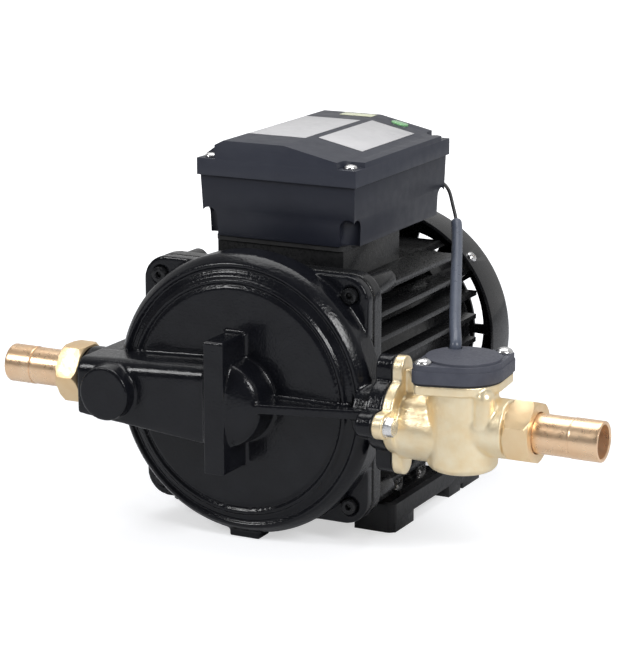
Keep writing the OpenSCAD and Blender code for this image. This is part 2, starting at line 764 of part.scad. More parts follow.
module pump_casing() {
    port_x = arm_end_x - 14;
    inner_half = arm_end_half - arm_cover + 1;
    color("#0f1012") difference() {
        union() {
            at_axis(flange_y) rounded_slab(flange_w, flange_w, flange_t, flange_corner);
            at_axis(flange_y) mirror([0, 0, 1]) rotate_extrude() polygon([
                [0, -flange_t / 2], [disc_r, -flange_t / 2], [disc_r, band_depth],
                [disc_r - ridge, band_depth + 2 * ridge], [step_r + 2 * ridge, band_depth + 4 * ridge],
                [step_r + ridge, band_depth + 5 * ridge], [step_r, band_depth + 5 * ridge],
                [step_r - ridge / 2, band_depth + 3.8 * ridge], [step_r - 1.5 * ridge, band_depth + 3.8 * ridge],
                [step_r - 2 * ridge, face_depth - 2 * ridge], [face_r + 1.7 * ridge, face_depth - 1.6 * ridge],
                [face_r + ridge, face_depth], [face_r, face_depth],
                [face_r - ridge / 2, face_depth - ridge], [face_r - 1.5 * ridge, face_depth - ridge],
                [face_r - 2 * ridge, face_depth], [0, face_depth]
            ]);
            translate([-foot_half_w, flange_y - foot_depth, 0])
                cube([2 * foot_half_w, foot_depth, axis_h - disc_r + foot_rise]);
            at_axis(arm_y) translate([0, 0, arm_depth + over]) mirror([0, 0, 1]) {
                cylinder(r = hub_r, h = arm_depth - dome_back - dome_h + over);
                translate([0, 0, arm_depth - dome_back - dome_h + over]) rotate_extrude()
                    polygon(concat([[0, 0]], [for (i = [0:dome_steps])
                        [i < dome_steps ? hub_r * cos(90 * i / dome_steps) : 0,
                         dome_h * sin(90 * i / dome_steps)]]));
            }
            translate([-bar_w / 2, arm_y, axis_h - bar_h / 2])
                cube([bar_w, arm_depth + over, bar_h]);
            arm_body();
            translate([-arm_end_x, arm_y + arm_edge, axis_h + arm_rise - arm_end_half])
                cube([arm_block, pipe_y + port_r - arm_y - arm_edge, 2 * arm_end_half]);
            translate([-arm_end_x + pad_r + pad_inset, front_y + over, axis_h + arm_rise])
                rotate([90, 0, 0]) cylinder(r = pad_r, h = pad_h + bar_proud + over);
            at_pipe(-port_end_x + nut_reach + nut_clear)
                cylinder(r = port_r - pad_step, h = port_end_x - arm_end_x - nut_reach - nut_clear + over);
            at_pipe(-port_end_x) cylinder(r = union_r, h = port_end_x - arm_end_x + over);
            translate([0, 0, axis_h - rib_t / 2 + 1]) linear_extrude(rib_t) polygon([
                [hub_r - 2, face_y + over], [hub_r - 2, arm_y + 5],
                [joint_x - black_flange_t, pipe_y - stub_r], [joint_x - black_flange_t, face_y + over]
            ]);
            at_pipe(disc_r - stub_start) cylinder(r = stub_r, h = joint_x - disc_r + stub_start);
            at_pipe(joint_x - black_flange_t) linear_extrude(black_flange_t)
                lobes(lobe_core_r - 0.5, boss_lobe_r);
        }
        at_axis(chamber_front_y) cylinder(r = chamber_r, h = flange_y + flange_t - chamber_front_y + over);
        at_axis(arm_y + arm_cover) cylinder(r = way_r + 1, h = face_depth + arm_depth);
        translate([-arm_end_x + arm_cover, arm_y + arm_cover, axis_h - inner_half])
            cube([arm_end_x - arm_cover, arm_depth - 2 * arm_cover, 2 * inner_half]);
        translate([-arm_end_x + arm_cover, arm_y + arm_cover, axis_h - way_r])
            cube([arm_block - arm_cover - over, pipe_y - arm_y - arm_cover, 2 * way_r]);
        at_pipe(-port_end_x - over) cylinder(r = way_r, h = port_end_x - arm_end_x + arm_block);
        translate([chamber_r - throat_r, throat_y, axis_h]) rotate([0, 90, 0])
            cylinder(r = throat_r, h = disc_r - chamber_r + throat_r);
        at_pipe(disc_r - stub_start / 2)
            cylinder(r = way_r, h = joint_x - disc_r + stub_start / 2 + over);
        for (s = [-1, 1]) at_pipe(joint_x - black_flange_t - over)
            translate([0, s * lobe_pitch_r, 0])
                cylinder(r = switch_bolt_d / 2, h = black_flange_t + 2 * over);
        at_axis(flange_y - over) at_corners(flange_pitch, flange_pitch) {
            cylinder(r = flange_screw_d / 2 + screw_gap, h = flange_t + 2 * over);
            cylinder(r = counterbore_d / 2, h = counterbore_t + over);
        }
    }
}

module casing_gasket() {
    color("#2b2b2d") at_axis(gasket_y) difference() {
        rounded_slab(flange_w - 1.2, flange_w - 1.2, gasket_t, flange_corner);
        translate([0, 0, -over]) cylinder(r = chamber_r, h = gasket_t + 2 * over);
        translate([0, 0, -over]) at_corners(flange_pitch, flange_pitch)
            cylinder(r = flange_screw_d / 2 + screw_gap, h = gasket_t + 2 * over);
    }
}

module casing_screws() {
    color("#8e9194") at_axis(flange_y + counterbore_t)
        at_corners(flange_pitch, flange_pitch) rotate([180, 0, 0])
            cap_screw(flange_screw_d - 2 * fit, corner_screw_len - counterbore_t);
}

impeller_r = chamber_r - 2.5;
impeller_y = chamber_front_y + 2.6;
vane_h = 6.4;
impeller_disc_t = 3;
impeller_hub_r = 11;
seal_head_len = 8;
impeller_hub_len = bracket_y - impeller_y - seal_head_len;
vanes = 6;

module impeller() {
    vane_arc_r = impeller_r * 0.62;
    vane_t = 2.4;
    color("#c99b52") at_axis(impeller_y) difference() {
        union() {
            translate([0, 0, vane_h]) cylinder(r = impeller_r, h = impeller_disc_t);
            cylinder(r = impeller_hub_r, h = impeller_hub_len);
            intersection() {
                cylinder(r = impeller_r, h = vane_h + impeller_disc_t / 2);
                spread(vanes) translate([vane_arc_r + 1, 0, 0]) rotate(-100)
                    rotate_extrude(angle = 175) translate([vane_arc_r - vane_t, 0])
                        square([vane_t, vane_h + impeller_disc_t / 2]);
            }
        }
        translate([0, 0, -over]) cylinder(r = shaft_r + fit, h = impeller_hub_len + 3 * over);
    }
}

nut_t = 3.4;

module impeller_nut() {
    color("#b9bcc0") at_axis(impeller_y - nut_t - fit) difference() {
        cylinder(r = 8.6, h = nut_t, $fn = 6);
        translate([0, 0, -over]) cylinder(r = shaft_r + fit, h = nut_t + 2 * over);
    }
}

module seal_head() {
    head_len = bracket_y - (impeller_y + impeller_hub_len) - 0.1;
    color("#3a3b3d") at_axis(bracket_y - head_len - 0.05) {
        tube(shaft_r + 4.5, shaft_r + fit, head_len * 0.7);
        translate([0, 0, head_len * 0.7 - fit]) tube(shaft_r + 3, shaft_r + fit, head_len * 0.3);
    }
}

module slinger() {
    color("#2b2b2d") at_axis(bracket_y + bracket_t + 1) tube(slinger_r, shaft_r + fit, 2);
}

shaft_y = impeller_y - nut_t - 0.5;
shaft_end_y = fan_y + fan_len + 2;

module motor_shaft() {
    color("#c9cbce") at_axis(shaft_y) {
        cylinder(r = shaft_r, h = shaft_end_y - shaft_y);
    }
}

/* UNIONS */
nut_chamfer = 1.8;
// A union from its port face outwards: washer, collar, lip and tail
module union_washer() {
    color("#39403f") tube(collar_r - run_gap, tail_bore_r, washer_t);
}

module union_nut() {
    hex_r = nut_af / sqrt(3);
    chamfer = nut_chamfer;
    color("#d9bd78") translate([0, 0, -nut_reach]) difference() {
        intersection() {
            cylinder(r = hex_r, h = nut_len, $fn = 6);
            rotate_extrude() polygon([
                [0, 0], [nut_af / 2 + run_gap, 0], [hex_r, chamfer],
                [hex_r, nut_len - chamfer], [nut_af / 2 + run_gap, nut_len], [0, nut_len]
            ]);
        }
        translate([0, 0, -over]) cylinder(r = union_r + nut_play, h = nut_len - nut_lip + over);
        cylinder(r = tail_end_r + nut_play, h = nut_len + over);
    }
}

module union_tail(len) {
    color("#c88f5b") translate([0, 0, washer_t]) difference() {
        union() {
            cylinder(r = collar_r, h = collar_t);
            cylinder(r = tail_r, h = len - tail_end_len + over);
            translate([0, 0, len - tail_end_len]) cylinder(r = tail_end_r, h = tail_end_len);
        }
        translate([0, 0, -over]) cylinder(r = tail_bore_r, h = len + 2 * over);
    }
}

module at_suction() { at_pipe(-port_end_x) rotate([180, 0, 0]) rotate(30) children(); }
module at_discharge() { at_pipe(switch_end_x) rotate(12) children(); }

module suction_washer() { at_suction() union_washer(); }
module suction_nut() { at_suction() union_nut(); }
module suction_tail() { at_suction() union_tail(suction_tail_len); }
module discharge_washer() { at_discharge() union_washer(); }
module discharge_nut() { at_discharge() union_nut(); }
module discharge_tail() { at_discharge() union_tail(discharge_tail_len); }

/* FLOW SWITCH */
switch_bolt_d = 5;
switch_gasket_t = 0.6;
brass_x = joint_x + switch_gasket_t;
seat_ring_r = way_r + 1.8;
hinge_x = switch_x - 6.3;
seat_x = hinge_x - flap_t / 2 - run_gap;
hinge_z = 13.2;
lip_h = 4.5;
lip_back = 0.8;
cover_z = switch_top + cover_seal_t;
side_boss_r = 5;
side_boss_angle = -33;
side_boss_z = 4;
side_boss_len = 11;
side_boss_out = 0.5;
lug_boss_r = 5;
neck_r = 14;
neck_drop = 6;
gusset_t = 4.5;
foot_bevel = 4;
screw_bite = 3.5;

module switch_gasket() {
    color("#4a4741") at_pipe(joint_x) linear_extrude(switch_gasket_t) difference() {
        lobes(lobe_core_r - 0.8, lobe_r - 0.8);
        circle(r = way_r);
        for (s = [-1, 1]) translate([0, s * lobe_pitch_r])
            circle(r = switch_bolt_d / 2 + screw_gap);
    }
}

module switch_bolts() {
    color("#c4c6c8") for (s = [-1, 1]) at_pipe(brass_x + brass_flange_t)
        translate([0, s * lobe_pitch_r, 0])
            hex_bolt(switch_bolt_d - 2 * fit, brass_flange_t + switch_gasket_t + black_flange_t - over);
}

module at_cover_screws() {
    for (a = [cover_screw_angle, cover_screw_angle + 180])
        rotate(a) translate([cover_screw_r, 0, 0]) children();
}

module switch_body() {
    neck_x = brass_x + brass_flange_t;
    inner_r = switch_r - switch_wall;
    color("#cfae62") difference() {
        union() {
            at_pipe(brass_x) linear_extrude(brass_flange_t) lobes(lobe_core_r, lobe_r);
            at_pipe(neck_x - over) {
                cylinder(r = way_r + 2, h = switch_x - neck_x);
                translate([neck_drop, 0, 0]) cylinder(r = neck_r, h = switch_x - neck_x);
            }
            translate([neck_x, pipe_y + gusset_t / 2, axis_h]) rotate([90, 0, 0])
                linear_extrude(gusset_t) gusset_outline();
            at_switch(-switch_low) {
                translate([0, 0, foot_bevel - over])
                    cylinder(r = switch_r, h = switch_low + switch_top - foot_bevel + over);
                rotate_extrude() polygon([
                    [0, 0], [switch_r - foot_bevel * 0.9, 0], [switch_r - foot_bevel * 0.4, foot_bevel * 0.22],
                    [switch_r - foot_bevel * 0.1, foot_bevel * 0.55], [switch_r, foot_bevel], [0, foot_bevel]
                ]);
            }
            at_switch(switch_top - lip_h) linear_extrude(lip_h) cover_outline(-lip_back);
            at_switch(side_boss_z) rotate(side_boss_angle) translate([switch_r + side_boss_out, 0, 0]) {
                cylinder(r = side_boss_r, h = side_boss_len);
                sphere(r = side_boss_r);
                translate([0, 0, side_boss_len]) sphere(r = side_boss_r);
            }
            at_pipe(switch_x)
                cylinder(r = stub_r + pad_step, h = switch_end_x - nut_reach - nut_clear - switch_x);
            at_pipe(switch_x) cylinder(r = union_r, h = switch_end_x - switch_x);
        }
        difference() {
            at_switch(-switch_low + switch_wall) cylinder(r = inner_r, h = switch_low + switch_top);
            at_pipe(brass_x) cylinder(r = seat_ring_r, h = seat_x - brass_x);
        }
        at_pipe(brass_x - over) cylinder(r = way_r, h = seat_x - brass_x + 2 * over);
        at_pipe(switch_x) cylinder(r = way_r, h = switch_end_x - switch_x + over);
        for (s = [-1, 1]) at_pipe(brass_x - over) translate([0, s * lobe_pitch_r, 0])
            cylinder(r = switch_bolt_d / 2 + screw_gap, h = brass_flange_t + 2 * over);
        translate([hinge_x, pipe_y - inner_r, axis_h + hinge_z]) rotate([-90, 0, 0])
            cylinder(r = flap_pin_r + fit, h = 2 * inner_r);
        at_switch(switch_top - screw_bite) at_cover_screws()
            cylinder(r = cover_screw_d / 2, h = screw_bite + over);
    }
}

// Side view of the rib between the top ear and the switch body
module gusset_outline() {
    reach = switch_x - switch_r - (brass_x + brass_flange_t) + switch_wall;
    top = lobe_pitch_r;
    polygon([
        [-over, 0], [reach, 0], [reach, way_r], [reach * 0.55, top * 0.5],
        [reach * 0.28, top * 0.72], [reach * 0.12, top], [-over, top]
    ]);
}

cover_screw_d = 4;
plateau_h = 1.2;
plateau_back = 1.7;
step_back = 0.5;
step_share = 0.6;

// Round cover with two lobes, and the flanks tangent to both circles
module cover_outline(grow) {
    core = cover_r + grow;
    lobe = lug_boss_r + grow;
    lean = acos((core - lobe) / cover_screw_r);
    circle(r = core);
    for (a = [cover_screw_angle, cover_screw_angle + 180]) rotate(a) {
        translate([cover_screw_r, 0]) circle(r = lobe);
        polygon([
            [0, 0], [core * cos(lean), -core * sin(lean)],
            [cover_screw_r + lobe * cos(lean), -lobe * sin(lean)],
            [cover_screw_r + lobe * cos(lean), lobe * sin(lean)],
            [core * cos(lean), core * sin(lean)]
        ]);
    }
}

module cover_seal() {
    color("#26272a") at_switch(switch_top) linear_extrude(cover_seal_t) difference() {
        cover_outline(-0.8);
        circle(r = switch_r - switch_wall);
        at_cover_screws_2d() circle(r = cover_screw_d / 2 + screw_gap);
    }
}

module at_cover_screws_2d() {
    for (a = [cover_screw_angle, cover_screw_angle + 180])
        rotate(a) translate([cover_screw_r, 0]) children();
}

room_z = 2;
room_r = switch_r - switch_wall - room_z;
channel_w = 3;
socket_depth = 3;
socket_gap = 0.6;

module switch_cover() {
    color("#3a3d42") at_switch(cover_z) difference() {
        union() {
            linear_extrude(cover_t * step_share) cover_outline(0);
            linear_extrude(cover_t - plateau_h) cover_outline(-step_back);
            cylinder(r = cover_r - plateau_back, h = cover_t);
        }
        translate([0, 0, room_z]) cylinder(r = room_r, h = cover_t - 2 * room_z);
        translate([0, 0, cover_t - room_z - channel_w])
            rotate(atan2(lead_start[1] - pipe_y, lead_start[0] - switch_x))
                translate([0, -channel_w / 2, 0]) cube([room_r + channel_w, channel_w, channel_w]);
        translate([0, 0, -over]) linear_extrude(cover_t + 2 * over) at_cover_screws_2d()
            circle(r = cover_screw_d / 2 + screw_gap);
        translate([lead_start[0] - switch_x, lead_start[1] - pipe_y, cover_t - socket_depth])
            cylinder(r = sleeve_r + socket_gap, h = socket_depth + over);
    }
}

module cover_screws() {
    color("#d4d6d8") at_switch(cover_z + cover_t - plateau_h) at_cover_screws()
        pan_screw(cover_screw_d - 2 * fit, cover_t - plateau_h + cover_seal_t + screw_bite - fit);
}

reed_board = [16, 12, 1.2];
reed_r = 1.3;
reed_len = 14;

module reed_switch() {
    color("#b7c9c4") at_switch(cover_z + room_z) {
        translate([-reed_board[0] / 2, -reed_board[1] / 2, 0]) cube(reed_board);
        translate([-reed_len / 2, 0, reed_board[2] + reed_r - reed_r / 13]) rotate([0, 90, 0])
            cylinder(r = reed_r, h = reed_len);
    }
}

module flap_pin() {
    color("#c4c6c8") translate([hinge_x, pipe_y - switch_r + switch_wall + 0.2, axis_h + hinge_z])
        rotate([-90, 0, 0]) cylinder(r = flap_pin_r, h = 2 * (switch_r - switch_wall) - 0.4);
}

stem_w = 6;
eye_len = 8;
eye_wall = 1.4;
magnet_arm = 5;
magnet_size = [4, 6, 4];

module flow_flap() {
    eye_r = flap_pin_r + eye_wall;
    color("#e6e2d6") translate([hinge_x, pipe_y, axis_h + hinge_z]) difference() {
        union() {
            translate([-flap_t / 2, 0, -hinge_z]) rotate([0, 90, 0]) cylinder(r = flap_r, h = flap_t);
            translate([-flap_t / 2, -stem_w / 2, -hinge_z]) cube([flap_t, stem_w, hinge_z]);
            translate([0, -eye_len / 2, 0]) rotate([-90, 0, 0]) cylinder(r = eye_r, h = eye_len);
            translate([0, -stem_w / 2, -flap_t / 2]) cube([magnet_arm, stem_w, flap_t]);
        }
        translate([0, -eye_len / 2 - over, 0]) rotate([-90, 0, 0])
            cylinder(r = flap_pin_r + pin_gap, h = eye_len + 2 * over);
    }
}

module flap_magnet() {
    color("#6e7073") translate([hinge_x + magnet_arm, pipe_y - magnet_size[1] / 2,
                                axis_h + hinge_z - magnet_size[2] / 2])
        cube(magnet_size);
}

/* TERMINAL BOX */
module box_gasket() {
    inset = 1;
    color("#242528") translate([0, box_fix_y, axis_h + pedestal_top]) difference() {
        rounded_slab(2 * pedestal_half_w + 2 * inset, pedestal_len + 2 * inset, box_gasket_t, 3);
        translate([-pedestal_half_w + pedestal_wall + 6, -pedestal_len / 2 + pedestal_wall, -over])
            cube([2 * (pedestal_half_w - pedestal_wall - 6), pedestal_len - 2 * pedestal_wall,
                  box_gasket_t + 2 * over]);
        for (sx = [-1, 1], sy = [-1, 1])
            translate([sx * box_fix_x, sy * box_fix_pitch / 2, -over])
                cylinder(r = box_fix_d / 2 + screw_gap, h = box_gasket_t + 2 * over);
    }
}

// Tapered block between two rectangles whose front faces differ by body_inset
module body_block(shrink) {
    low_half = body_low_half - shrink;
    top_half = body_top_half - shrink;
    low_y0 = box_y + 2 * body_inset + shrink;
    low_y1 = low_y0 + body_low_len - 2 * shrink;
    top_y0 = box_y + body_inset + shrink;
    top_y1 = box_y + lid_len - body_inset - shrink;
    low_z = box_z + shrink;
    top_z = lid_z + (shrink > 0 ? over : 0);
    polyhedron(
        points = [
            [-low_half, low_y0, low_z], [low_half, low_y0, low_z],
            [low_half, low_y1, low_z], [-low_half, low_y1, low_z],
            [-top_half, top_y0, top_z], [top_half, top_y0, top_z],
            [top_half, top_y1, top_z], [-top_half, top_y1, top_z]
        ],
        faces = [
            [0, 1, 2, 3], [7, 6, 5, 4], [4, 5, 1, 0], [5, 6, 2, 1], [6, 7, 3, 2], [7, 4, 0, 3]
        ]);
}

lid_screw_x = lid_half_w - 5.2;
lid_screw_inset = 5.4;
post_r = 4.6;
recess_r = 5.2;
notch_r = 4.6;
notch_drop = 0.8;
recess_h = 14.5;
lid_screw_d = 3.2;
lid_hole_depth = 12;
rear_cut = 16;
gland_x = -16;
gland_z = 14;
gland_hole_r = 8;
grommet_x = 28;
grommet_z = 12.5;
grommet_hole_r = 3;

module at_lid_screws() {
    for (sx = [-1, 1], y = [box_y + lid_screw_inset, box_y + lid_len - lid_screw_inset])
        translate([sx * lid_screw_x, y, 0]) children();
}

module terminal_box() {
    color("#2a2c31") difference() {
        union() {
            difference() {
                body_block(0);
                body_block(box_wall);
            }
            intersection() {
                at_lid_screws() translate([0, 0, box_z])
                    cylinder(r = recess_r + box_wall, h = box_body_h);
                body_block(0);
            }
        }
        translate([0, 0, box_z - over]) at_lid_screws() {
            cylinder(r = recess_r, h = recess_h - recess_r + over);
            translate([0, 0, recess_h - recess_r + over]) sphere(r = recess_r);
        }
        translate([0, 0, lid_z - lid_hole_depth]) at_lid_screws()
            cylinder(r = lid_screw_d / 2, h = lid_hole_depth + over);
        translate([-pedestal_half_w + pedestal_wall + 6, box_fix_y - pedestal_len / 2 + pedestal_wall, box_z - over])
            cube([2 * (pedestal_half_w - pedestal_wall - 6), pedestal_len - 2 * pedestal_wall,
                  box_wall + 2 * over]);
        for (sx = [-1, 1], sy = [-1, 1])
            translate([sx * box_fix_x, box_fix_y + sy * box_fix_pitch / 2, box_z - over])
                cylinder(r = box_fix_d / 2 + screw_gap, h = box_wall + 2 * over);
        translate([gland_x, box_y + lid_len - rear_cut, box_z + gland_z]) rotate([-90, 0, 0])
            cylinder(r = gland_hole_r, h = rear_cut + over);
        translate([grommet_x, box_y + lid_len - rear_cut, box_z + grommet_z]) rotate([-90, 0, 0])
            cylinder(r = grommet_hole_r, h = rear_cut + over);
    }
}

module box_fixings() {
    color("#b9bcc0") for (sx = [-1, 1], sy = [-1, 1])
        translate([sx * box_fix_x, box_fix_y + sy * box_fix_pitch / 2, box_z + box_wall])
            pan_screw(box_fix_d - 2 * fit, box_gasket_t + box_wall + box_fix_len - 3);
}

crest_x0 = -28;
crest_x1 = 4.5;
slope_x1 = 36;
slope_end_h = 1.8;

function lid_top(x) = x <= crest_x1
    ? lid_crest_h
    : lid_crest_h + (slope_end_h - lid_crest_h) * (x - crest_x1) / (slope_x1 - crest_x1);

// Front view of the lid, X right and Z up from the band's top
module lid_outline(shrink) {
    polygon([
        [-lid_half_w + shrink, -lid_band_h - (shrink > 0 ? over : 0)],
        [lid_half_w - shrink, -lid_band_h - (shrink > 0 ? over : 0)],
        [lid_half_w - shrink, slope_end_h - shrink], [slope_x1, slope_end_h - shrink],
        [crest_x1, lid_crest_h - shrink], [crest_x0, lid_crest_h - shrink],
        [crest_x0 - 10, slope_end_h + 1.6 - shrink], [-lid_half_w + shrink, -shrink]
    ]);
}

// Notch for a lid screw, open to its corner of the lid
module lid_notch(sx, sy) {
    far = lid_screw_inset + over;
    high = lid_crest_h + 2 * over;
    translate([sx * lid_screw_x, box_y + lid_len / 2 + sy * (lid_len / 2 - lid_screw_inset),
               lid_floor_z - notch_drop])
        mirror([sx < 0 ? 1 : 0, 0, 0]) mirror([0, sy < 0 ? 1 : 0, 0]) {
            cylinder(r = notch_r, h = high);
            translate([-notch_r, 0, 0]) cube([notch_r + far, far, high]);
            translate([0, -notch_r, 0]) cube([far, notch_r + far, high]);
        }
}

module box_lid() {
    slope_angle = atan((lid_crest_h - slope_end_h) / (slope_x1 - crest_x1));
    color("#303238") difference() {
        translate([0, box_y + lid_len, lid_floor_z]) rotate([90, 0, 0])
            linear_extrude(lid_len) lid_outline(0);
        difference() {
            translate([0, box_y + lid_len - box_wall, lid_floor_z]) rotate([90, 0, 0])
                linear_extrude(lid_len - 2 * box_wall) lid_outline(box_wall);
            translate([0, 0, lid_z]) at_lid_screws() cylinder(r = post_r + 1, h = 2 * lid_band_h);
        }
        for (sx = [-1, 1], sy = [-1, 1]) lid_notch(sx, sy);
        translate([0, 0, lid_z - over]) at_lid_screws()
            cylinder(r = lid_screw_d / 2 + screw_gap, h = lid_band_h + over);
        translate([lens_x, lens_y, lid_floor_z + lid_top(lens_x)]) rotate([0, slope_angle, 0])
            translate([0, 0, -lens_sink]) linear_extrude(2 * lens_sink) lens_outline(0.1);
    }
}

lens_x = 18;
lens_y = box_y + lid_len - 6.5;
lens_long = 4.5;
lens_r = 3;
lens_sink = 1.2;

module lens_outline(grow) {
    for (s = [-1, 1]) translate([s * (lens_long - lens_r), 0]) circle(r = lens_r + grow);
    square([2 * (lens_long - lens_r), 2 * (lens_r + grow)], center = true);
}

module status_lens() {
    slope_angle = atan((lid_crest_h - slope_end_h) / (slope_x1 - crest_x1));
    color("#49b35a") translate([lens_x, lens_y, lid_floor_z + lid_top(lens_x)])
        rotate([0, slope_angle, 0]) translate([0, 0, -lens_sink]) linear_extrude(lens_sink + 0.6)
            lens_outline(0);
}

module lid_screws() {
    color("#d4d6d8") translate([0, 0, lid_floor_z - notch_drop]) at_lid_screws()
        pan_screw(lid_screw_d - 2 * fit, lid_band_h - notch_drop + lid_hole_depth - post_r);
}

label_t = 0.3;
label_left_size = [31, 60];
label_left_at = [crest_x0 + 0.8, box_y + 24];
label_right_size = [24, 59];
label_right_gap = 3;
label_right_ahead = 31;
label_rear_size = [18, 7];
label_rear_gap = 0.8;

module label_left() {
    color("#c9ccd1") translate([label_left_at[0], label_left_at[1], lid_floor_z + lid_crest_h])
        cube([label_left_size[0], label_left_size[1], label_t]);
}

module label_right() {
    slope_angle = atan((lid_crest_h - slope_end_h) / (slope_x1 - crest_x1));
    color("#d3d5d8") translate([crest_x1, box_y + label_right_ahead, lid_floor_z + lid_crest_h])
        rotate([0, slope_angle, 0]) translate([label_right_gap, 0, 0])
            cube([label_right_size[0], label_right_size[1], label_t]);
}

module label_rear() {
    color("#cfd2b4") translate([crest_x1 - label_rear_size[0] - label_rear_gap,
                                box_y + lid_len - label_rear_size[1] - 3, lid_floor_z + lid_crest_h])
        cube([label_rear_size[0], label_rear_size[1], label_t]);
}

board_z = box_z + 7;
board_t = 1.6;
board_half_w = 30;
board_len = lid_len - board_ahead - board_behind;
board_y = box_y + board_ahead;
standoff_r = 2.4;
standoff_inset = [3, 10];

module control_board() {
    color("#2f6b3c") {
        translate([-board_half_w, board_y, board_z]) cube([2 * board_half_w, board_len, board_t]);
        translate([0, board_y + board_len / 2, box_z + box_wall])
            at_corners(2 * board_half_w - 2 * standoff_inset[0], board_len - 2 * standoff_inset[1])
                cylinder(r = standoff_r, h = board_z - box_z - box_wall + board_t / 2);
    }
}

// Place on the board from its middle and rear, and size, of each part on it
relay = [[12, 48], [15, 19, 14]];
film_capacitor = [[12, 24], [14, 11, 11]];
rear_plug = [[lens_x - 2.5, 7], [5, 5, 9]];

module board_parts() {
    color("#3b4a66") for (part = [relay, film_capacitor, rear_plug])
        translate([part[0][0], board_y + board_len - part[0][1], board_z + board_t]) cube(part[1]);
}

capacitor_x = -10;
capacitor_ahead = 12;
capacitor_behind = 6;
capacitor_lift = 0.8;
saddle_size = [12, 6, 4];
saddle_inset = 10;

module run_capacitor() {
    cap_y = board_y + capacitor_ahead;
    cap_len = board_len - capacitor_ahead - capacitor_behind;
    top = board_z + board_t;
    color("#d9dadc") {
        translate([capacitor_x, cap_y, top + capacitor_r + capacitor_lift]) rotate([-90, 0, 0])
            cylinder(r = capacitor_r, h = cap_len);
        for (y = [cap_y + saddle_inset, cap_y + cap_len - saddle_inset - saddle_size[1]])
            translate([capacitor_x - saddle_size[0] / 2, y, top]) cube(saddle_size);
    }
}

block_size = [20, 14, 12];
block_at = [8, 4];
clamp_pitch = 6.5;
clamp_r = 2;

module terminal_block() {
    color("#e9e6dc") translate([block_at[0], board_y + block_at[1], board_z + board_t]) difference() {
        cube(block_size);
        for (i = [-1:1]) translate([block_size[0] / 2 + i * clamp_pitch, block_size[1] / 2, block_size[2] / 2])
            cylinder(r = clamp_r, h = block_size[2] / 2 + over);
    }
}

// Rear face of the tapered box body at a height over its floor
function body_rear_y(z) = box_y + 2 * body_inset + body_low_len
    + (lid_len - 3 * body_inset - body_low_len) * z / box_body_h;

gland_hex_r = 11;
gland_hex_t = 5;
gland_nut_r = 10.5;
gland_nut_t = 4;
gland_cap_r = 10;
gland_cap_len = 9;
gland_bore_r = 4;
gland_gap = 0.1;

module cable_gland() {
    body_r = gland_hole_r - gland_gap;
    nut_y = body_rear_y(gland_z - gland_hex_r) - box_wall - gland_nut_t - 12 * gland_gap;
    hex_at = body_rear_y(gland_z + gland_hex_r) - nut_y + gland_gap;
    color("#1d1e20") translate([gland_x, nut_y, box_z + gland_z]) rotate([-90, 0, 0]) difference() {
        union() {
            cylinder(r = body_r, h = hex_at + gland_hex_t + gland_cap_len / 2);
            translate([0, 0, hex_at]) cylinder(r = gland_hex_r, h = gland_hex_t, $fn = 6);
            translate([0, 0, hex_at + gland_hex_t]) cylinder(r = gland_cap_r, h = gland_cap_len);
            translate([0, 0, gland_gap]) cylinder(r = gland_nut_r, h = gland_nut_t, $fn = 6);
        }
        translate([0, 0, -over])
            cylinder(r = gland_bore_r, h = hex_at + gland_hex_t + gland_cap_len + 2 * over);
    }
}

grommet_len = 9;
grommet_rim_t = 2;
grommet_rim = 1.6;
grommet_gap = 0.3;

module lead_grommet() {
    rim_y = body_rear_y(grommet_z + grommet_hole_r + grommet_rim) + gland_gap;
    color("#17181a") translate([grommet_x, rim_y + grommet_rim_t - grommet_len, box_z + grommet_z])
        rotate([-90, 0, 0]) difference() {
            union() {
                cylinder(r = grommet_hole_r - fit, h = grommet_len);
                translate([0, 0, grommet_len - grommet_rim_t])
                    cylinder(r = grommet_hole_r + grommet_rim, h = grommet_rim_t);
            }
            translate([0, 0, -over]) cylinder(r = lead_r + grommet_gap, h = grommet_len + 2 * over);
        }
}

/* LEAD */
lead_start = [103, -76];
lead_points = [
    [103, -76, 99.8], [103, -76, 102], [102.4, -74, 105], [95, -58.5, 111], [80, -24, 122],
    [62, 17, 137], [51, 36, 145.5], [43, 48, 150.5], [34, 58, 151.5], [28, 56, 151],
    [28, 44, 150.9]
];
sleeve_end_share = 0.52;
lead_steps = 64;

function spline(p, i, t) =
    let (n = len(p) - 1,
         a = p[max(i - 1, 0)], b = p[i], c = p[min(i + 1, n)], d = p[min(i + 2, n)])
    0.5 * (2 * b + (c - a) * t + (2 * a - 5 * b + 4 * c - d) * t * t
           + (3 * b - a - 3 * c + d) * t * t * t);

function route(p, s) =
    let (n = len(p) - 1, u = min(s * n, n - 0.0001), i = floor(u)) spline(p, i, u - i);

function unit(v) = v / norm(v);

// Closed tube of the given radius along the points, with six or more sides
module sweep(path, r, sides) {
    last = len(path) - 1;
    function along(i) = unit(path[min(i + 1, last)] - path[max(i - 1, 0)]);
    function side(i) = unit(cross(along(i), [0, 1, 0.31]));
    function rise(i) = cross(along(i), side(i));
    points = [for (i = [0:last], k = [0:sides - 1])
        path[i] + r * (cos(360 * k / sides) * side(i) + sin(360 * k / sides) * rise(i))];
    walls = [for (i = [0:last - 1], k = [0:sides - 1])
        let (a = i * sides + k, b = i * sides + (k + 1) % sides)
        [a, b, b + sides, a + sides]];
    polyhedron(points = points, faces = concat(
        [[for (k = [sides - 1:-1:0]) k]], walls,
        [[for (k = [0:sides - 1]) last * sides + k]]), convexity = 6);
}

module switch_lead() {
    color("#111214") sweep([for (i = [0:lead_steps])
        route(lead_points, sleeve_end_share + (1 - sleeve_end_share) * i / lead_steps)], lead_r, 8);
}

module lead_sleeve() {
    color("#5f6770") sweep([for (i = [0:lead_steps / 2])
        route(lead_points, sleeve_end_share * i * 2 / lead_steps)], sleeve_r, 12);
}

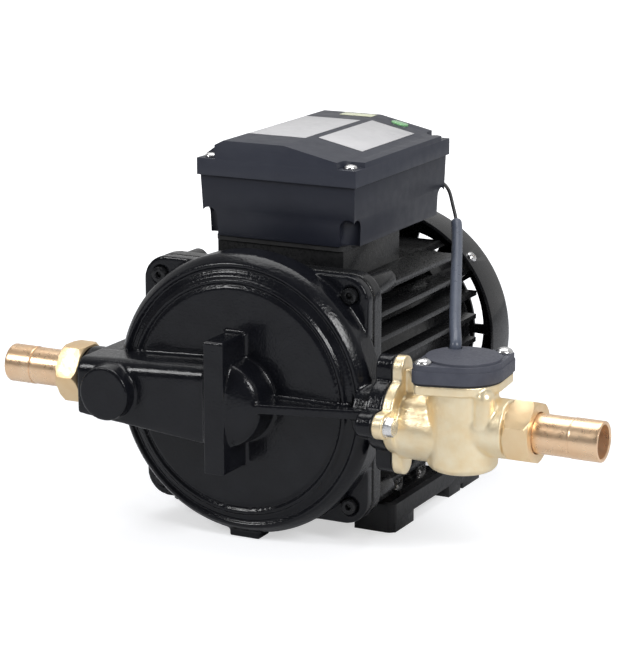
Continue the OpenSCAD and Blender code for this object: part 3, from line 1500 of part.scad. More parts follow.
base_frame();
housing_screws();
motor_housing();
motor_bracket();
pump_casing();
casing_gasket();
casing_screws();
stator_core();
stator_windings();
rear_shield();
shield_screws();
fan_cowl();
cowl_screws();
front_bearing_outer();
rear_bearing_outer();
seal_seat();
box_gasket();
terminal_box();
box_fixings();
box_lid();
lid_screws();
label_left();
label_right();
label_rear();
status_lens();
control_board();
board_parts();
run_capacitor();
terminal_block();
cable_gland();
lead_grommet();
switch_lead();
lead_sleeve();
switch_body();
switch_gasket();
switch_bolts();
cover_seal();
switch_cover();
cover_screws();
reed_switch();
flap_pin();
suction_washer();
suction_tail();
discharge_washer();
discharge_tail();
suction_nut();
discharge_nut();
flow_flap();
flap_magnet();
motor_shaft();
rotor_core();
front_bearing_inner();
rear_bearing_inner();
seal_head();
slinger();
impeller();
impeller_nut();
fan();
fan_clip();
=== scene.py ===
"""Looks of a shower pump: castings, brass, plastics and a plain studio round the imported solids."""

import logging
import math
from dataclasses import dataclass
from enum import Enum

import bmesh
import bpy
from mathutils import Matrix, Vector


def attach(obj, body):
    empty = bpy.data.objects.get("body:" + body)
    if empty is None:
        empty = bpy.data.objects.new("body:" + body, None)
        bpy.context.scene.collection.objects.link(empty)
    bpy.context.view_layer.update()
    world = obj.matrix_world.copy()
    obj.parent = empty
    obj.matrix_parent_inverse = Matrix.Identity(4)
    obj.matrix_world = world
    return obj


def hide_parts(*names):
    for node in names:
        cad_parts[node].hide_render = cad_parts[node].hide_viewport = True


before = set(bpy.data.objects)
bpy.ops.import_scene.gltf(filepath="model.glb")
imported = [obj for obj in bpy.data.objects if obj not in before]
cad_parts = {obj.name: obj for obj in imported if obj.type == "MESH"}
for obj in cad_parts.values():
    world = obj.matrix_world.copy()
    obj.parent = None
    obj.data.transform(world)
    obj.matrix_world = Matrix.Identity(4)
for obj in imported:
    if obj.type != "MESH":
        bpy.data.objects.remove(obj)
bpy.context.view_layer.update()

LOG = logging.getLogger("shower_pump")
MM = 0.001
SIDES = ("suction", "discharge")

# Spans of noise and of pointed edges that a finish reads
NOISE_LOW, NOISE_HIGH = 0.3, 0.7
FINE_LOW, FINE_HIGH = 0.32, 0.68
EDGE_LOW, EDGE_HIGH = 0.53, 0.62
FINE_SHARE = 0.21
LEAST_ROUGHNESS = 0.03

# What all copied meshes and all castings share
WELD_MM = 0.001
CAST_SOFTENING = 0.5
CAST_SHARP_DEG = 80.0

Colour = tuple[float, float, float]
Point = tuple[float, float, float]


# How finishes are made


class Lay(Enum):
    """How a grain lies over a surface: the share of it that is kept along X, Y and Z."""

    EVEN = (1.0, 1.0, 1.0)
    RINGS_ABOUT_X = (1.0, 0.0, 0.0)
    RINGS_ABOUT_Y = (0.0, 1.0, 0.0)


@dataclass(frozen=True)
class Grain:
    """One layer of relief: its size, how deep it is and how it lies."""

    size_mm: float
    depth_mm: float
    lay: Lay = Lay.EVEN
    detail: float = 2.0
    pits: bool = False


@dataclass(frozen=True)
class Finish:
    """One finish of the pump, with its colours, gloss and relief."""

    name: str
    colour: Colour
    tone: Colour
    roughness: float
    grains: tuple[Grain, ...]
    mottle_mm: float = 9.0
    swing: float = 0.08
    metallic: float = 0.0
    coat: float = 0.0
    coat_roughness: float = 0.08
    specular: float = 0.5
    transmission: float = 0.0
    wear: float = 0.0
    wear_colour: Colour = (0.3, 0.3, 0.3)

    def build(self) -> bpy.types.Material:
        """Builds the finish as a node material.

        Returns:
            The new material.
        """
        graph = Graph(self.name)
        mottle = graph.noise(self.mottle_mm, detail=4.0)
        colour = graph.blend(graph.span(mottle, NOISE_LOW, NOISE_HIGH, 0.0, 1.0), self.colour, self.tone)
        if self.wear:
            edge = graph.span(graph.edges(), EDGE_LOW, EDGE_HIGH, 0.0, self.wear)
            colour = graph.blend(edge, colour, self.wear_colour)
        graph.join(colour, "Base Color")
        fine = graph.noise(self.mottle_mm * FINE_SHARE, detail=5.0)
        low, high = max(self.roughness - self.swing, LEAST_ROUGHNESS), self.roughness + self.swing
        graph.join(graph.span(fine, FINE_LOW, FINE_HIGH, low, high), "Roughness")
        graph.join(graph.relief(self.grains), "Normal")
        graph.fix("Metallic", self.metallic)
        graph.fix("Coat Weight", self.coat)
        graph.fix("Coat Roughness", self.coat_roughness)
        graph.fix("Specular IOR Level", self.specular)
        graph.fix("Transmission Weight", self.transmission)
        return graph.material


class Graph:
    """A material's nodes round one Principled shader, with short ways to add to them."""

    def __init__(self, name: str) -> None:
        """Starts an empty graph.

        Args:
            name: the material's name.
        """
        self.material = bpy.data.materials.new(name)
        self.material.use_nodes = True
        self.tree = self.material.node_tree
        self.tree.nodes.clear()
        self.shader = self.tree.nodes.new("ShaderNodeBsdfPrincipled")
        output = self.tree.nodes.new("ShaderNodeOutputMaterial")
        self.tree.links.new(self.shader.outputs["BSDF"], output.inputs["Surface"])
        self.place = self.tree.nodes.new("ShaderNodeTexCoord").outputs["Object"]

    def fix(self, label: str, value: float) -> None:
        """Sets a constant on the shader's own socket."""
        self.shader.inputs[label].default_value = value

    def join(self, source: bpy.types.NodeSocket, label: str) -> None:
        """Feeds a socket into the shader's input of that label."""
        self.tree.links.new(source, self.shader.inputs[label])

    def noise(self, size_mm: float, lay: Lay = Lay.EVEN, detail: float = 2.0) -> bpy.types.NodeSocket:
        """Adds noise over the surface.

        Args:
            size_mm: size of its blots.
            lay: how they lie.
            detail: how many finer layers it holds.

        Returns:
            The noise's value, about 0.3 to 0.7.
        """
        node = self.tree.nodes.new("ShaderNodeTexNoise")
        node.inputs["Scale"].default_value = 1.0 / (size_mm * MM)
        node.inputs["Detail"].default_value = detail
        self.tree.links.new(self._laid(lay), node.inputs["Vector"])
        return node.outputs[0]

    def cells(self, size_mm: float, lay: Lay = Lay.EVEN) -> bpy.types.NodeSocket:
        """Adds a field of round cells.

        Args:
            size_mm: size of the cells.
            lay: how they lie.

        Returns:
            The distance from each cell's middle.
        """
        node = self.tree.nodes.new("ShaderNodeTexVoronoi")
        node.inputs["Scale"].default_value = 1.0 / (size_mm * MM)
        self.tree.links.new(self._laid(lay), node.inputs["Vector"])
        return node.outputs["Distance"]

    def _laid(self, lay: Lay) -> bpy.types.NodeSocket:
        """Stretches the surface's place as a lay asks.

        Args:
            lay: how the grain lies.

        Returns:
            The place that a texture reads.
        """
        if lay is Lay.EVEN:
            return self.place
        node = self.tree.nodes.new("ShaderNodeVectorMath")
        node.operation = "MULTIPLY"
        node.inputs[1].default_value = lay.value
        self.tree.links.new(self.place, node.inputs[0])
        return node.outputs[0]

    def edges(self) -> bpy.types.NodeSocket:
        """Returns how far each point stands out, which is high along edges."""
        return self.tree.nodes.new("ShaderNodeNewGeometry").outputs["Pointiness"]

    def span(self, source: bpy.types.NodeSocket, low: float, high: float,
             to_low: float, to_high: float) -> bpy.types.NodeSocket:
        """Maps a value from one span to another, clamped.

        Args:
            source: the value.
            low: start of the span that it is read over.
            high: end of that span.
            to_low: what the start becomes.
            to_high: what the end becomes.

        Returns:
            The mapped value.
        """
        node = self.tree.nodes.new("ShaderNodeMapRange")
        for label, value in (("From Min", low), ("From Max", high),
                             ("To Min", to_low), ("To Max", to_high)):
            node.inputs[label].default_value = value
        self.tree.links.new(source, node.inputs["Value"])
        return node.outputs["Result"]

    def blend(self, share: bpy.types.NodeSocket, first: Colour | bpy.types.NodeSocket,
              second: Colour) -> bpy.types.NodeSocket:
        """Blends two colours by a share.

        Args:
            share: how much of the second colour shows.
            first: the colour under it, or a socket that gives one.
            second: the colour over it.

        Returns:
            The blended colour.
        """
        node = self.tree.nodes.new("ShaderNodeMix")
        node.data_type = "RGBA"
        under, over = node.inputs[6], node.inputs[7]
        over.default_value = (*second, 1.0)
        if isinstance(first, tuple):
            under.default_value = (*first, 1.0)
        else:
            self.tree.links.new(first, under)
        self.tree.links.new(share, node.inputs[0])
        return node.outputs[2]

    def relief(self, grains: tuple[Grain, ...]) -> bpy.types.NodeSocket:
        """Stacks layers of relief.

        Args:
            grains: the layers, the broadest first.

        Returns:
            The normal of the whole stack.
        """
        normal = None
        for grain in grains:
            node = self.tree.nodes.new("ShaderNodeBump")
            node.inputs["Strength"].default_value = 1.0
            node.inputs["Distance"].default_value = grain.depth_mm * MM
            height = (self.cells(grain.size_mm, grain.lay) if grain.pits
                      else self.noise(grain.size_mm, grain.lay, grain.detail))
            self.tree.links.new(height, node.inputs["Height"])
            if normal is not None:
                self.tree.links.new(normal, node.inputs["Normal"])
            normal = node.outputs["Normal"]
        return normal


# Finishes of the pump

CAST_BLACK = Finish("black_paint_on_cast_iron", (0.004, 0.0043, 0.0062), (0.007, 0.0075, 0.0098), 0.18,
                    (Grain(9.0, 0.12), Grain(1.2, 0.2, detail=3.0)), coat=0.22, coat_roughness=0.08,
                    specular=0.2, wear=0.02, wear_colour=(0.1, 0.1, 0.11))
BRACKET_BLACK = Finish("black_paint_on_the_bracket", (0.005, 0.0052, 0.0062), (0.0085, 0.0088, 0.01), 0.28,
                       (Grain(9.0, 0.2), Grain(1.4, 0.1)), coat=0.2, specular=0.3, wear=0.03)
MOTOR_BLACK = Finish("black_paint_on_aluminium", (0.0038, 0.004, 0.0046), (0.0066, 0.0068, 0.0076), 0.3,
                     (Grain(12.0, 0.25), Grain(1.6, 0.05)), coat=0.12, specular=0.28, wear=0.07)
SHEET_BLACK = Finish("black_paint_on_sheet_steel", (0.006, 0.0062, 0.0072), (0.0085, 0.0087, 0.01), 0.26,
                     (Grain(18.0, 0.2), Grain(1.8, 0.03)), coat=0.45, specular=0.5, wear=0.02)
BASE_BLACK = Finish("black_powder_coat", (0.009, 0.0092, 0.0105), (0.014, 0.0142, 0.016), 0.4,
                    (Grain(1.1, 0.06),), specular=0.3, wear=0.05)
BOX_PLASTIC = Finish("near_black_moulded_plastic", (0.0125, 0.0142, 0.0225), (0.0155, 0.0175, 0.027), 0.38,
                     (Grain(22.0, 0.3), Grain(0.55, 0.012)), mottle_mm=26.0, swing=0.05, specular=0.4)
# The box's near-black plastic painted lighter for the lid: painted light for the lid's top, which takes more
# light and reflection from above than the box's sides
LID_PLASTIC_PAINTED_LIGHTER = Finish("near_black_plastic_painted_lighter_for_the_lid", (0.0215, 0.0244, 0.037), (0.0262, 0.0295, 0.0435), 0.42,
                     (Grain(30.0, 0.3), Grain(0.55, 0.014)), mottle_mm=30.0, swing=0.05, specular=0.45)
COVER_PLASTIC = Finish("dark_grey_glass_filled_plastic", (0.05, 0.0535, 0.072), (0.064, 0.068, 0.088), 0.5,
                       (Grain(7.0, 0.15), Grain(0.5, 0.03)), mottle_mm=5.0, specular=0.4)
GLAND_PLASTIC = Finish("satin_black_polyamide", (0.015, 0.015, 0.016), (0.021, 0.021, 0.022), 0.42,
                       (Grain(0.7, 0.02),))
FAN_PLASTIC = Finish("black_polypropylene", (0.02, 0.02, 0.022), (0.028, 0.028, 0.03), 0.45,
                     (Grain(1.2, 0.03),))
CAST_BRASS = Finish("sand_cast_brass", (0.93, 0.75, 0.465), (0.97, 0.85, 0.61), 0.38,
                    (Grain(8.0, 0.4), Grain(1.0, 0.085, detail=3.0)), mottle_mm=7.0, swing=0.07,
                    metallic=0.72)
NUT_BRASS = Finish("machined_brass", (0.88, 0.635, 0.355), (0.93, 0.72, 0.45), 0.36,
                   (Grain(0.22, 0.012, Lay.RINGS_ABOUT_X), Grain(3.0, 0.05)), mottle_mm=11.0,
                   metallic=0.8)
TAIL_BRASS = Finish("turned_brass", (0.92, 0.62, 0.38), (0.95, 0.7, 0.47), 0.3,
                    (Grain(0.3, 0.014, Lay.RINGS_ABOUT_X), Grain(5.0, 0.04)), mottle_mm=14.0,
                    metallic=0.85, swing=0.05)
IMPELLER_BRASS = Finish("cast_impeller_brass", (0.7, 0.5, 0.26), (0.78, 0.58, 0.33), 0.4,
                        (Grain(1.2, 0.05),), metallic=1.0)
ZINC = Finish("bright_zinc_plate", (0.74, 0.74, 0.75), (0.84, 0.83, 0.82), 0.26,
              (Grain(1.4, 0.03),), mottle_mm=2.5, metallic=1.0)
DARK_STEEL = Finish("phosphated_steel", (0.12, 0.12, 0.125), (0.2, 0.2, 0.205), 0.42,
                    (Grain(0.8, 0.03),), mottle_mm=3.0, metallic=0.9)
GROUND_STEEL = Finish("ground_steel", (0.6, 0.6, 0.61), (0.68, 0.68, 0.69), 0.2,
                      (Grain(0.25, 0.008, Lay.RINGS_ABOUT_Y),), metallic=1.0)
LAMINATION = Finish("stacked_steel_sheets", (0.22, 0.22, 0.23), (0.34, 0.33, 0.33), 0.5,
                    (Grain(0.5, 0.05, Lay.RINGS_ABOUT_Y),), metallic=0.8)
COPPER = Finish("enamelled_copper_wire", (0.5, 0.2, 0.09), (0.66, 0.3, 0.14), 0.35,
                (Grain(1.0, 0.2, Lay.RINGS_ABOUT_Y),), mottle_mm=4.0, metallic=0.8, coat=0.4)
CERAMIC = Finish("lapped_ceramic", (0.8, 0.77, 0.7), (0.86, 0.83, 0.77), 0.2, (Grain(2.0, 0.01),))
CARBON = Finish("carbon_ring", (0.025, 0.025, 0.027), (0.04, 0.04, 0.042), 0.4, (Grain(0.6, 0.02),))
RUBBER = Finish("black_rubber", (0.014, 0.014, 0.015), (0.022, 0.022, 0.023), 0.62, (Grain(0.8, 0.04),))
PAPER_GASKET = Finish("dark_fibre_gasket", (0.035, 0.036, 0.036), (0.06, 0.06, 0.058), 0.8,
                      (Grain(0.5, 0.06),), mottle_mm=1.2)
FOIL = Finish("plain_grey_foil", (0.49, 0.488, 0.5), (0.55, 0.545, 0.555), 0.34,
              (Grain(14.0, 0.12), Grain(0.35, 0.004)), mottle_mm=16.0, swing=0.06)
CREAM_FOIL = Finish("plain_cream_foil", (0.62, 0.64, 0.46), (0.68, 0.7, 0.52), 0.34,
                    (Grain(10.0, 0.1),), mottle_mm=8.0)
GREEN_LENS = Finish("green_lens", (0.22, 0.6, 0.24), (0.34, 0.7, 0.34), 0.16, (Grain(1.0, 0.05, pits=True),),
                    transmission=0.35, coat=0.5)
BOARD = Finish("solder_resist", (0.02, 0.16, 0.06), (0.03, 0.21, 0.085), 0.35, (Grain(1.5, 0.05),))
COMPONENT = Finish("moulded_components", (0.02, 0.03, 0.075), (0.035, 0.045, 0.1), 0.4, (Grain(0.8, 0.02),))
CAN = Finish("drawn_aluminium_can", (0.68, 0.68, 0.69), (0.76, 0.76, 0.77), 0.3,
             (Grain(0.4, 0.01, Lay.RINGS_ABOUT_Y),), metallic=1.0)
NYLON = Finish("natural_polyamide", (0.72, 0.69, 0.6), (0.78, 0.75, 0.67), 0.42, (Grain(1.0, 0.03),))
SLEEVE = Finish("blue_grey_sleeve", (0.066, 0.078, 0.108), (0.084, 0.097, 0.13), 0.34,
                (Grain(6.0, 0.12), Grain(0.6, 0.012)), mottle_mm=12.0)
LEAD = Finish("black_jacket", (0.012, 0.012, 0.013), (0.018, 0.018, 0.019), 0.4, (Grain(0.8, 0.02),))


class Palette:
    """Builds each finish once and hands it out."""

    _made: dict[str, bpy.types.Material] = {}

    @classmethod
    def get(cls, finish: Finish) -> bpy.types.Material:
        """Hands out a finish's material, built on first use.

        Args:
            finish: the finish.

        Returns:
            Its material.
        """
        if finish.name not in cls._made:
            cls._made[finish.name] = finish.build()
        return cls._made[finish.name]


# Mesh tools


def linked(name: str, mesh: bpy.types.Mesh) -> bpy.types.Object:
    """Puts a mesh into the scene.

    Args:
        name: the object's name.
        mesh: what it shows.

    Returns:
        The object.
    """
    piece = bpy.data.objects.new(name, mesh)
    bpy.context.scene.collection.objects.link(piece)
    return piece


def closed_piece(name: str, body: bmesh.types.BMesh) -> bpy.types.Object:
    """Makes a piece of a closed surface, with its faces turned outward.

    Args:
        name: the piece's name.
        body: the surface, which is freed.

    Returns:
        The piece.
    """
    bmesh.ops.recalc_face_normals(body, faces=body.faces)
    mesh = bpy.data.meshes.new(name)
    body.to_mesh(mesh)
    body.free()
    return linked(name, mesh)


def welded(node: str) -> bmesh.types.BMesh:
    """Copies a CAD node's surface and welds its loose triangles together.

    Args:
        node: the CAD node.

    Returns:
        The bare surface, without the node's own shading.
    """
    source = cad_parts[node].data
    bare = bpy.data.meshes.new(f"{node}_bare")
    bare.from_pydata([v.co[:] for v in source.vertices], [],
                     [tuple(p.vertices) for p in source.polygons])
    body = bmesh.new()
    body.from_mesh(bare)
    bpy.data.meshes.remove(bare)
    bmesh.ops.remove_doubles(body, verts=body.verts, dist=WELD_MM * MM)
    return body


def settle(piece: bpy.types.Object) -> None:
    """Turns a piece's modifiers into its own mesh.

    Args:
        piece: the piece.
    """
    graph = bpy.context.evaluated_depsgraph_get()
    made = bpy.data.meshes.new_from_object(piece.evaluated_get(graph))
    piece.modifiers.clear()
    piece.data = made


def shade(piece: bpy.types.Object, sharp_deg: float) -> None:
    """Shades a piece smooth, with its edges over an angle kept sharp.

    Args:
        piece: the piece.
        sharp_deg: the angle between two faces from which their edge is sharp.
    """
    mesh = piece.data
    mesh.polygons.foreach_set("use_smooth", [True] * len(mesh.polygons))
    mesh.set_sharp_from_angle(angle=math.radians(sharp_deg))


def twin(node: str, name: str, joined_deg: float = 0.3) -> bpy.types.Object:
    """Copies a CAD node's mesh to a new piece, with its flat triangles joined.

    Args:
        node: the CAD node.
        name: the new piece's name.
        joined_deg: triangles that differ by less than this are joined, or 0 for none.

    Returns:
        The new piece.
    """
    body = welded(node)
    if joined_deg:
        bmesh.ops.dissolve_limit(body, angle_limit=math.radians(joined_deg),
                                 verts=body.verts, edges=body.edges)
    return closed_piece(name, body)


def bevel(piece: bpy.types.Object, width_mm: float, steps: int, from_deg: float) -> None:
    """Rounds a piece's edges.

    Args:
        piece: the piece.
        width_mm: width of the rounding.
        steps: facets across it.
        from_deg: the least angle between two faces whose edge is rounded.
    """
    tool = piece.modifiers.new("edges", "BEVEL")
    tool.width = width_mm * MM
    tool.segments = steps
    tool.limit_method = "ANGLE"
    tool.angle_limit = math.radians(from_deg)
    tool.miter_outer = "MITER_ARC"
    settle(piece)


def cast(node: str, name: str, voxel_mm: float, passes: int) -> bpy.types.Object:
    """Copies a CAD node with its walls run into each other, soft at edges and corners as castings are.

    Args:
        node: the CAD node.
        name: the new piece's name.
        voxel_mm: size of the cells that it is rebuilt from.
        passes: how often it is smoothed.

    Returns:
        The new piece.
    """
    piece = twin(node, name, joined_deg=0)
    rebuild = piece.modifiers.new("rebuild", "REMESH")
    rebuild.mode = "VOXEL"
    rebuild.voxel_size = voxel_mm * MM
    soften = piece.modifiers.new("soften", "SMOOTH")
    soften.factor = CAST_SOFTENING
    soften.iterations = passes
    settle(piece)
    return piece


def merged(name: str, pieces: list[bpy.types.Object]) -> bpy.types.Object:
    """Joins the meshes of several pieces to one and removes the pieces.

    Args:
        name: the joined piece's name.
        pieces: what is joined.

    Returns:
        The joined piece.
    """
    body = bmesh.new()
    for piece in pieces:
        body.from_mesh(piece.data)
        bpy.data.objects.remove(piece)
    mesh = bpy.data.meshes.new(name)
    body.to_mesh(mesh)
    body.free()
    return linked(name, mesh)


def lathe(name: str, outline: list[tuple[float, float]], sides: int = 96,
          closed: bool = False) -> bpy.types.Object:
    """Turns an outline of radius and height, in millimetres, about Z.

    Args:
        name: the piece's name.
        outline: the points, from the lower end to the upper one.
        sides: facets round the axis.
        closed: whether the last point is joined to the first, as on a ring.

    Returns:
        The turned piece, closed where it starts and ends on the axis.
    """
    body = bmesh.new()
    rings = []
    for radius, height in outline:
        if radius <= 0:
            rings.append([body.verts.new((0, 0, height * MM))])
            continue
        rings.append([body.verts.new((radius * MM * math.cos(math.tau * k / sides),
                                      radius * MM * math.sin(math.tau * k / sides), height * MM))
                      for k in range(sides)])
    for low, high in zip(rings, rings[1:] + (rings[:1] if closed else [])):
        for k in range(sides):
            n = (k + 1) % sides
            corner = [low[k % len(low)], low[n % len(low)], high[n % len(high)], high[k % len(high)]]
            body.faces.new(list(dict.fromkeys(corner)))
    return closed_piece(name, body)


def solids(node: str) -> list[tuple[Vector, Vector]]:
    """Finds the separate solids in a CAD node.

    Args:
        node: the CAD node.

    Returns:
        The low and high corners of each.
    """
    body = welded(node)
    left, boxes = set(body.verts), []
    while left:
        group, edge = set(), [left.pop()]
        while edge:
            vertex = edge.pop()
            group.add(vertex)
            for line in vertex.link_edges:
                other = line.other_vert(vertex)
                if other in left:
                    left.discard(other)
                    edge.append(other)
        boxes.append((Vector([min(v.co[i] for v in group) for i in range(3)]),
                      Vector([max(v.co[i] for v in group) for i in range(3)])))
    body.free()
    return boxes


@dataclass(frozen=True)
class DomeScrew:
    """A round-headed upright screw, in millimetres."""

    shank_r: float
    head_r: float
    rise: float
    seat: float
    rim: float = 0.35
    under: float = 0.2
    step_deg: int = 10
    sides: int = 48

    def place_all(self, node: str, name: str) -> bpy.types.Object:
        """Turns a screw for each solid of a CAD node.

        Args:
            node: the CAD node of screws.
            name: the new piece's name.

        Returns:
            The screws as one piece.
        """
        screws = []
        for k, (low, high) in enumerate(sorted(solids(node), key=lambda box: tuple(box[0]))):
            deep = (high.z - low.z) / MM - self.seat
            dome = [(self.head_r * math.cos(math.radians(a)),
                     self.rim + (self.rise - self.rim) * math.sin(math.radians(a)))
                    for a in range(0, 90, self.step_deg)]
            screw = lathe(f"{name}_{k}", [(0, -deep), (self.shank_r, -deep), (self.shank_r, 0),
                                          (self.head_r - self.under, 0), *dome, (0, self.rise)],
                          sides=self.sides)
            place = Vector(((low.x + high.x) / 2, (low.y + high.y) / 2, high.z - self.seat * MM))
            for vertex in screw.data.vertices:
                vertex.co += place
            screws.append(screw)
        return merged(name, screws)


class Assembly:
    """A group of pieces on one body, with a log line for each."""

    body: str = "pump"

    def add(self, piece: bpy.types.Object, finish: Finish, slot: str, *nodes: str,
            body: str | None = None, sharp_deg: float = 40.0) -> bpy.types.Object:
        """Finishes a new piece and puts it on its body in place of CAD nodes.

        Args:
            piece: the piece, in its place.
            finish: what it is finished in.
            slot: the record's material slot that it stands for; not used.
            nodes: the CAD nodes that it replaces.
            body: the body that it rides on, if not the assembly's.
            sharp_deg: the angle from which its edges are shaded sharp.

        Returns:
            The piece.
        """
        shade(piece, sharp_deg)
        piece.data.materials.clear()
        piece.data.materials.append(Palette.get(finish))
        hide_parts(*nodes)
        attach(piece, body or self.body)
        LOG.info("%s on %s in %s, for %s", piece.name, body or self.body, finish.name, ", ".join(nodes))
        return piece

    def round_off(self, node: str, name: str, width_mm: float, finish: Finish, slot: str,
                  steps: int = 2, from_deg: float = 30.0, sharp_deg: float = 40.0,
                  body: str | None = None) -> None:
        """Stands a copy of a CAD node with rounded edges in its place.

        Args:
            node: the CAD node.
            name: the new piece's name.
            width_mm: width of the rounding.
            finish: what it is finished in.
            slot: the record's material slot that it stands for; handed on to add, and not used.
            steps: facets across the rounding.
            from_deg: the least angle between two faces whose edge is rounded.
            sharp_deg: the angle from which its edges are shaded sharp.
            body: the body that it rides on, if not the assembly's.
        """
        piece = twin(node, name)
        bevel(piece, width_mm, steps, from_deg)
        self.add(piece, finish, slot, node, body=body, sharp_deg=sharp_deg)

    def dress(self, finish: Finish, *nodes: str) -> None:
        """Finishes CAD nodes whose shape stays as it is.

        Args:
            finish: what they are finished in.
            nodes: the nodes.
        """
        for node in nodes:
            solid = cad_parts[node]
            solid.data.materials.clear()
            solid.data.materials.append(Palette.get(finish))
            LOG.info("%s kept, in %s", node, finish.name)


# Sub-assemblies of the pump


@dataclass
class PumpHead(Assembly):
    """The painted casing with its arm, hub, bar and outlet, the bracket and their screws."""

    casing_voxel_mm: float = 0.7
    casing_passes: int = 6
    bracket_voxel_mm: float = 1.0
    bracket_passes: int = 3
    screw_edge_mm: float = 0.3

    def build(self) -> None:
        """Builds the castings and finishes the gasket and the screws."""
        self.add(cast("pump_casing", "casing_casting", self.casing_voxel_mm, self.casing_passes),
                 CAST_BLACK, "cast_paint", "pump_casing", sharp_deg=CAST_SHARP_DEG)
        self.add(cast("motor_bracket", "bracket_casting", self.bracket_voxel_mm, self.bracket_passes),
                 BRACKET_BLACK, "cast_paint", "motor_bracket", sharp_deg=CAST_SHARP_DEG)
        self.dress(PAPER_GASKET, "casing_gasket")
        self.round_off("casing_screws", "flange_cap_screws", self.screw_edge_mm,
                       BRACKET_BLACK, "dark_steel")


@dataclass
class Motor(Assembly):
    """The finned housing on its base frame, the rear shield and their fixings."""

    fin_edge_mm: float = 0.5
    base_edge_mm: float = 1.0

    def build(self) -> None:
        """Builds the outside of the motor and finishes what it holds."""
        self.round_off("motor_housing", "finned_housing", self.fin_edge_mm, MOTOR_BLACK, "motor_paint")
        self.round_off("base_frame", "pressed_base", self.base_edge_mm, BASE_BLACK, "base_paint", steps=3)
        self.round_off("rear_shield", "rear_end_shield", self.fin_edge_mm, MOTOR_BLACK, "motor_paint")
        self.dress(ZINC, "housing_screws", "shield_screws")
        self.dress(LAMINATION, "stator_core")
        self.dress(COPPER, "stator_windings")
        self.dress(GROUND_STEEL, "front_bearing_outer", "rear_bearing_outer")
        self.dress(CERAMIC, "seal_seat")


@dataclass
class Rotor(Assembly):
    """What turns: shaft, core, inner rings, seal, impeller, nut, fan and clip."""

    body: str = "rotor"
    blade_edge_mm: float = 0.3

    def build(self) -> None:
        """Finishes the turning parts."""
        self.dress(GROUND_STEEL, "motor_shaft", "front_bearing_inner", "rear_bearing_inner")
        self.dress(LAMINATION, "rotor_core")
        self.dress(CARBON, "seal_head")
        self.dress(RUBBER, "slinger")
        self.dress(IMPELLER_BRASS, "impeller")
        self.dress(ZINC, "impeller_nut")
        self.dress(DARK_STEEL, "fan_clip")
        self.round_off("fan", "fan_moulding", self.blade_edge_mm, FAN_PLASTIC, "fan_plastic")


@dataclass
class Cowl(Assembly):
    """The slotted fan cowl and its four screws."""

    edge_mm: float = 0.35

    def build(self) -> None:
        """Builds the cowl and finishes its screws."""
        self.round_off("fan_cowl", "slotted_cowl", self.edge_mm, SHEET_BLACK, "cowl_paint", sharp_deg=35)
        self.dress(ZINC, "cowl_screws")


@dataclass
class TerminalBox(Assembly):
    """The moulded box and lid with screws, foils and lens, and what the box holds."""

    tub_edge_mm: float = 0.9
    lid_edge_mm: float = 1.0
    foil_edge_mm: float = 0.12
    lens_edge_mm: float = 0.35
    gland_edge_mm: float = 0.3
    screw: DomeScrew = DomeScrew(shank_r=1.57, head_r=3.3, rise=2.0, seat=1.88)

    def build(self) -> None:
        """Builds the mouldings and finishes what they carry."""
        self.round_off("terminal_box", "box_moulding", self.tub_edge_mm, BOX_PLASTIC, "box_plastic",
                       steps=3, from_deg=20)
        # The lid's lighter plastic is painted light: the box's plastic made lighter for the brighter light
        # on the lid's top
        self.round_off("box_lid", "lid_moulding", self.lid_edge_mm, LID_PLASTIC_PAINTED_LIGHTER, "box_plastic",
                       steps=3, from_deg=9)
        self.dress(RUBBER, "box_gasket", "lead_grommet")
        self.add(self.screw.place_all("lid_screws", "lid_dome_screws"), ZINC, "zinc", "lid_screws")
        self.dress(ZINC, "box_fixings")
        for node, name, finish, slot in (("label_left", "left_foil", FOIL, "label"),
                                         ("label_right", "right_foil", FOIL, "label"),
                                         ("label_rear", "rear_foil", CREAM_FOIL, "label_cream")):
            self.round_off(node, name, self.foil_edge_mm, finish, slot)
        self.round_off("status_lens", "oval_lens", self.lens_edge_mm, GREEN_LENS, "lens_green")
        self.dress(BOARD, "control_board")
        self.dress(COMPONENT, "board_parts")
        self.dress(CAN, "run_capacitor")
        self.dress(NYLON, "terminal_block")
        self.round_off("cable_gland", "gland_moulding", self.gland_edge_mm, GLAND_PLASTIC, "gland_plastic")


@dataclass
class FlowSwitch(Assembly):
    """The brass switch body with its cover, bolts and seals, and the flap inside."""

    voxel_mm: float = 0.55
    passes: int = 5
    cover_edge_mm: float = 0.6
    bolt_edge_mm: float = 0.25
    screw: DomeScrew = DomeScrew(shank_r=1.97, head_r=4.0, rise=2.6, seat=2.36)

    def build(self) -> None:
        """Builds the casting and the cover and finishes the small parts."""
        self.add(cast("switch_body", "switch_casting", self.voxel_mm, self.passes),
                 CAST_BRASS, "cast_brass", "switch_body", sharp_deg=CAST_SHARP_DEG)
        self.round_off("switch_cover", "cover_moulding", self.cover_edge_mm,
                       COVER_PLASTIC, "cover_plastic", steps=3)
        self.round_off("switch_bolts", "hexagon_bolts", self.bolt_edge_mm, ZINC, "zinc")
        self.add(self.screw.place_all("cover_screws", "cover_dome_screws"), ZINC, "zinc", "cover_screws")
        self.dress(ZINC, "flap_pin")
        self.dress(PAPER_GASKET, "switch_gasket")
        self.dress(RUBBER, "cover_seal")
        self.dress(BOARD, "reed_switch")
        self.dress(NYLON, "flow_flap")
        self.dress(DARK_STEEL, "flap_magnet")


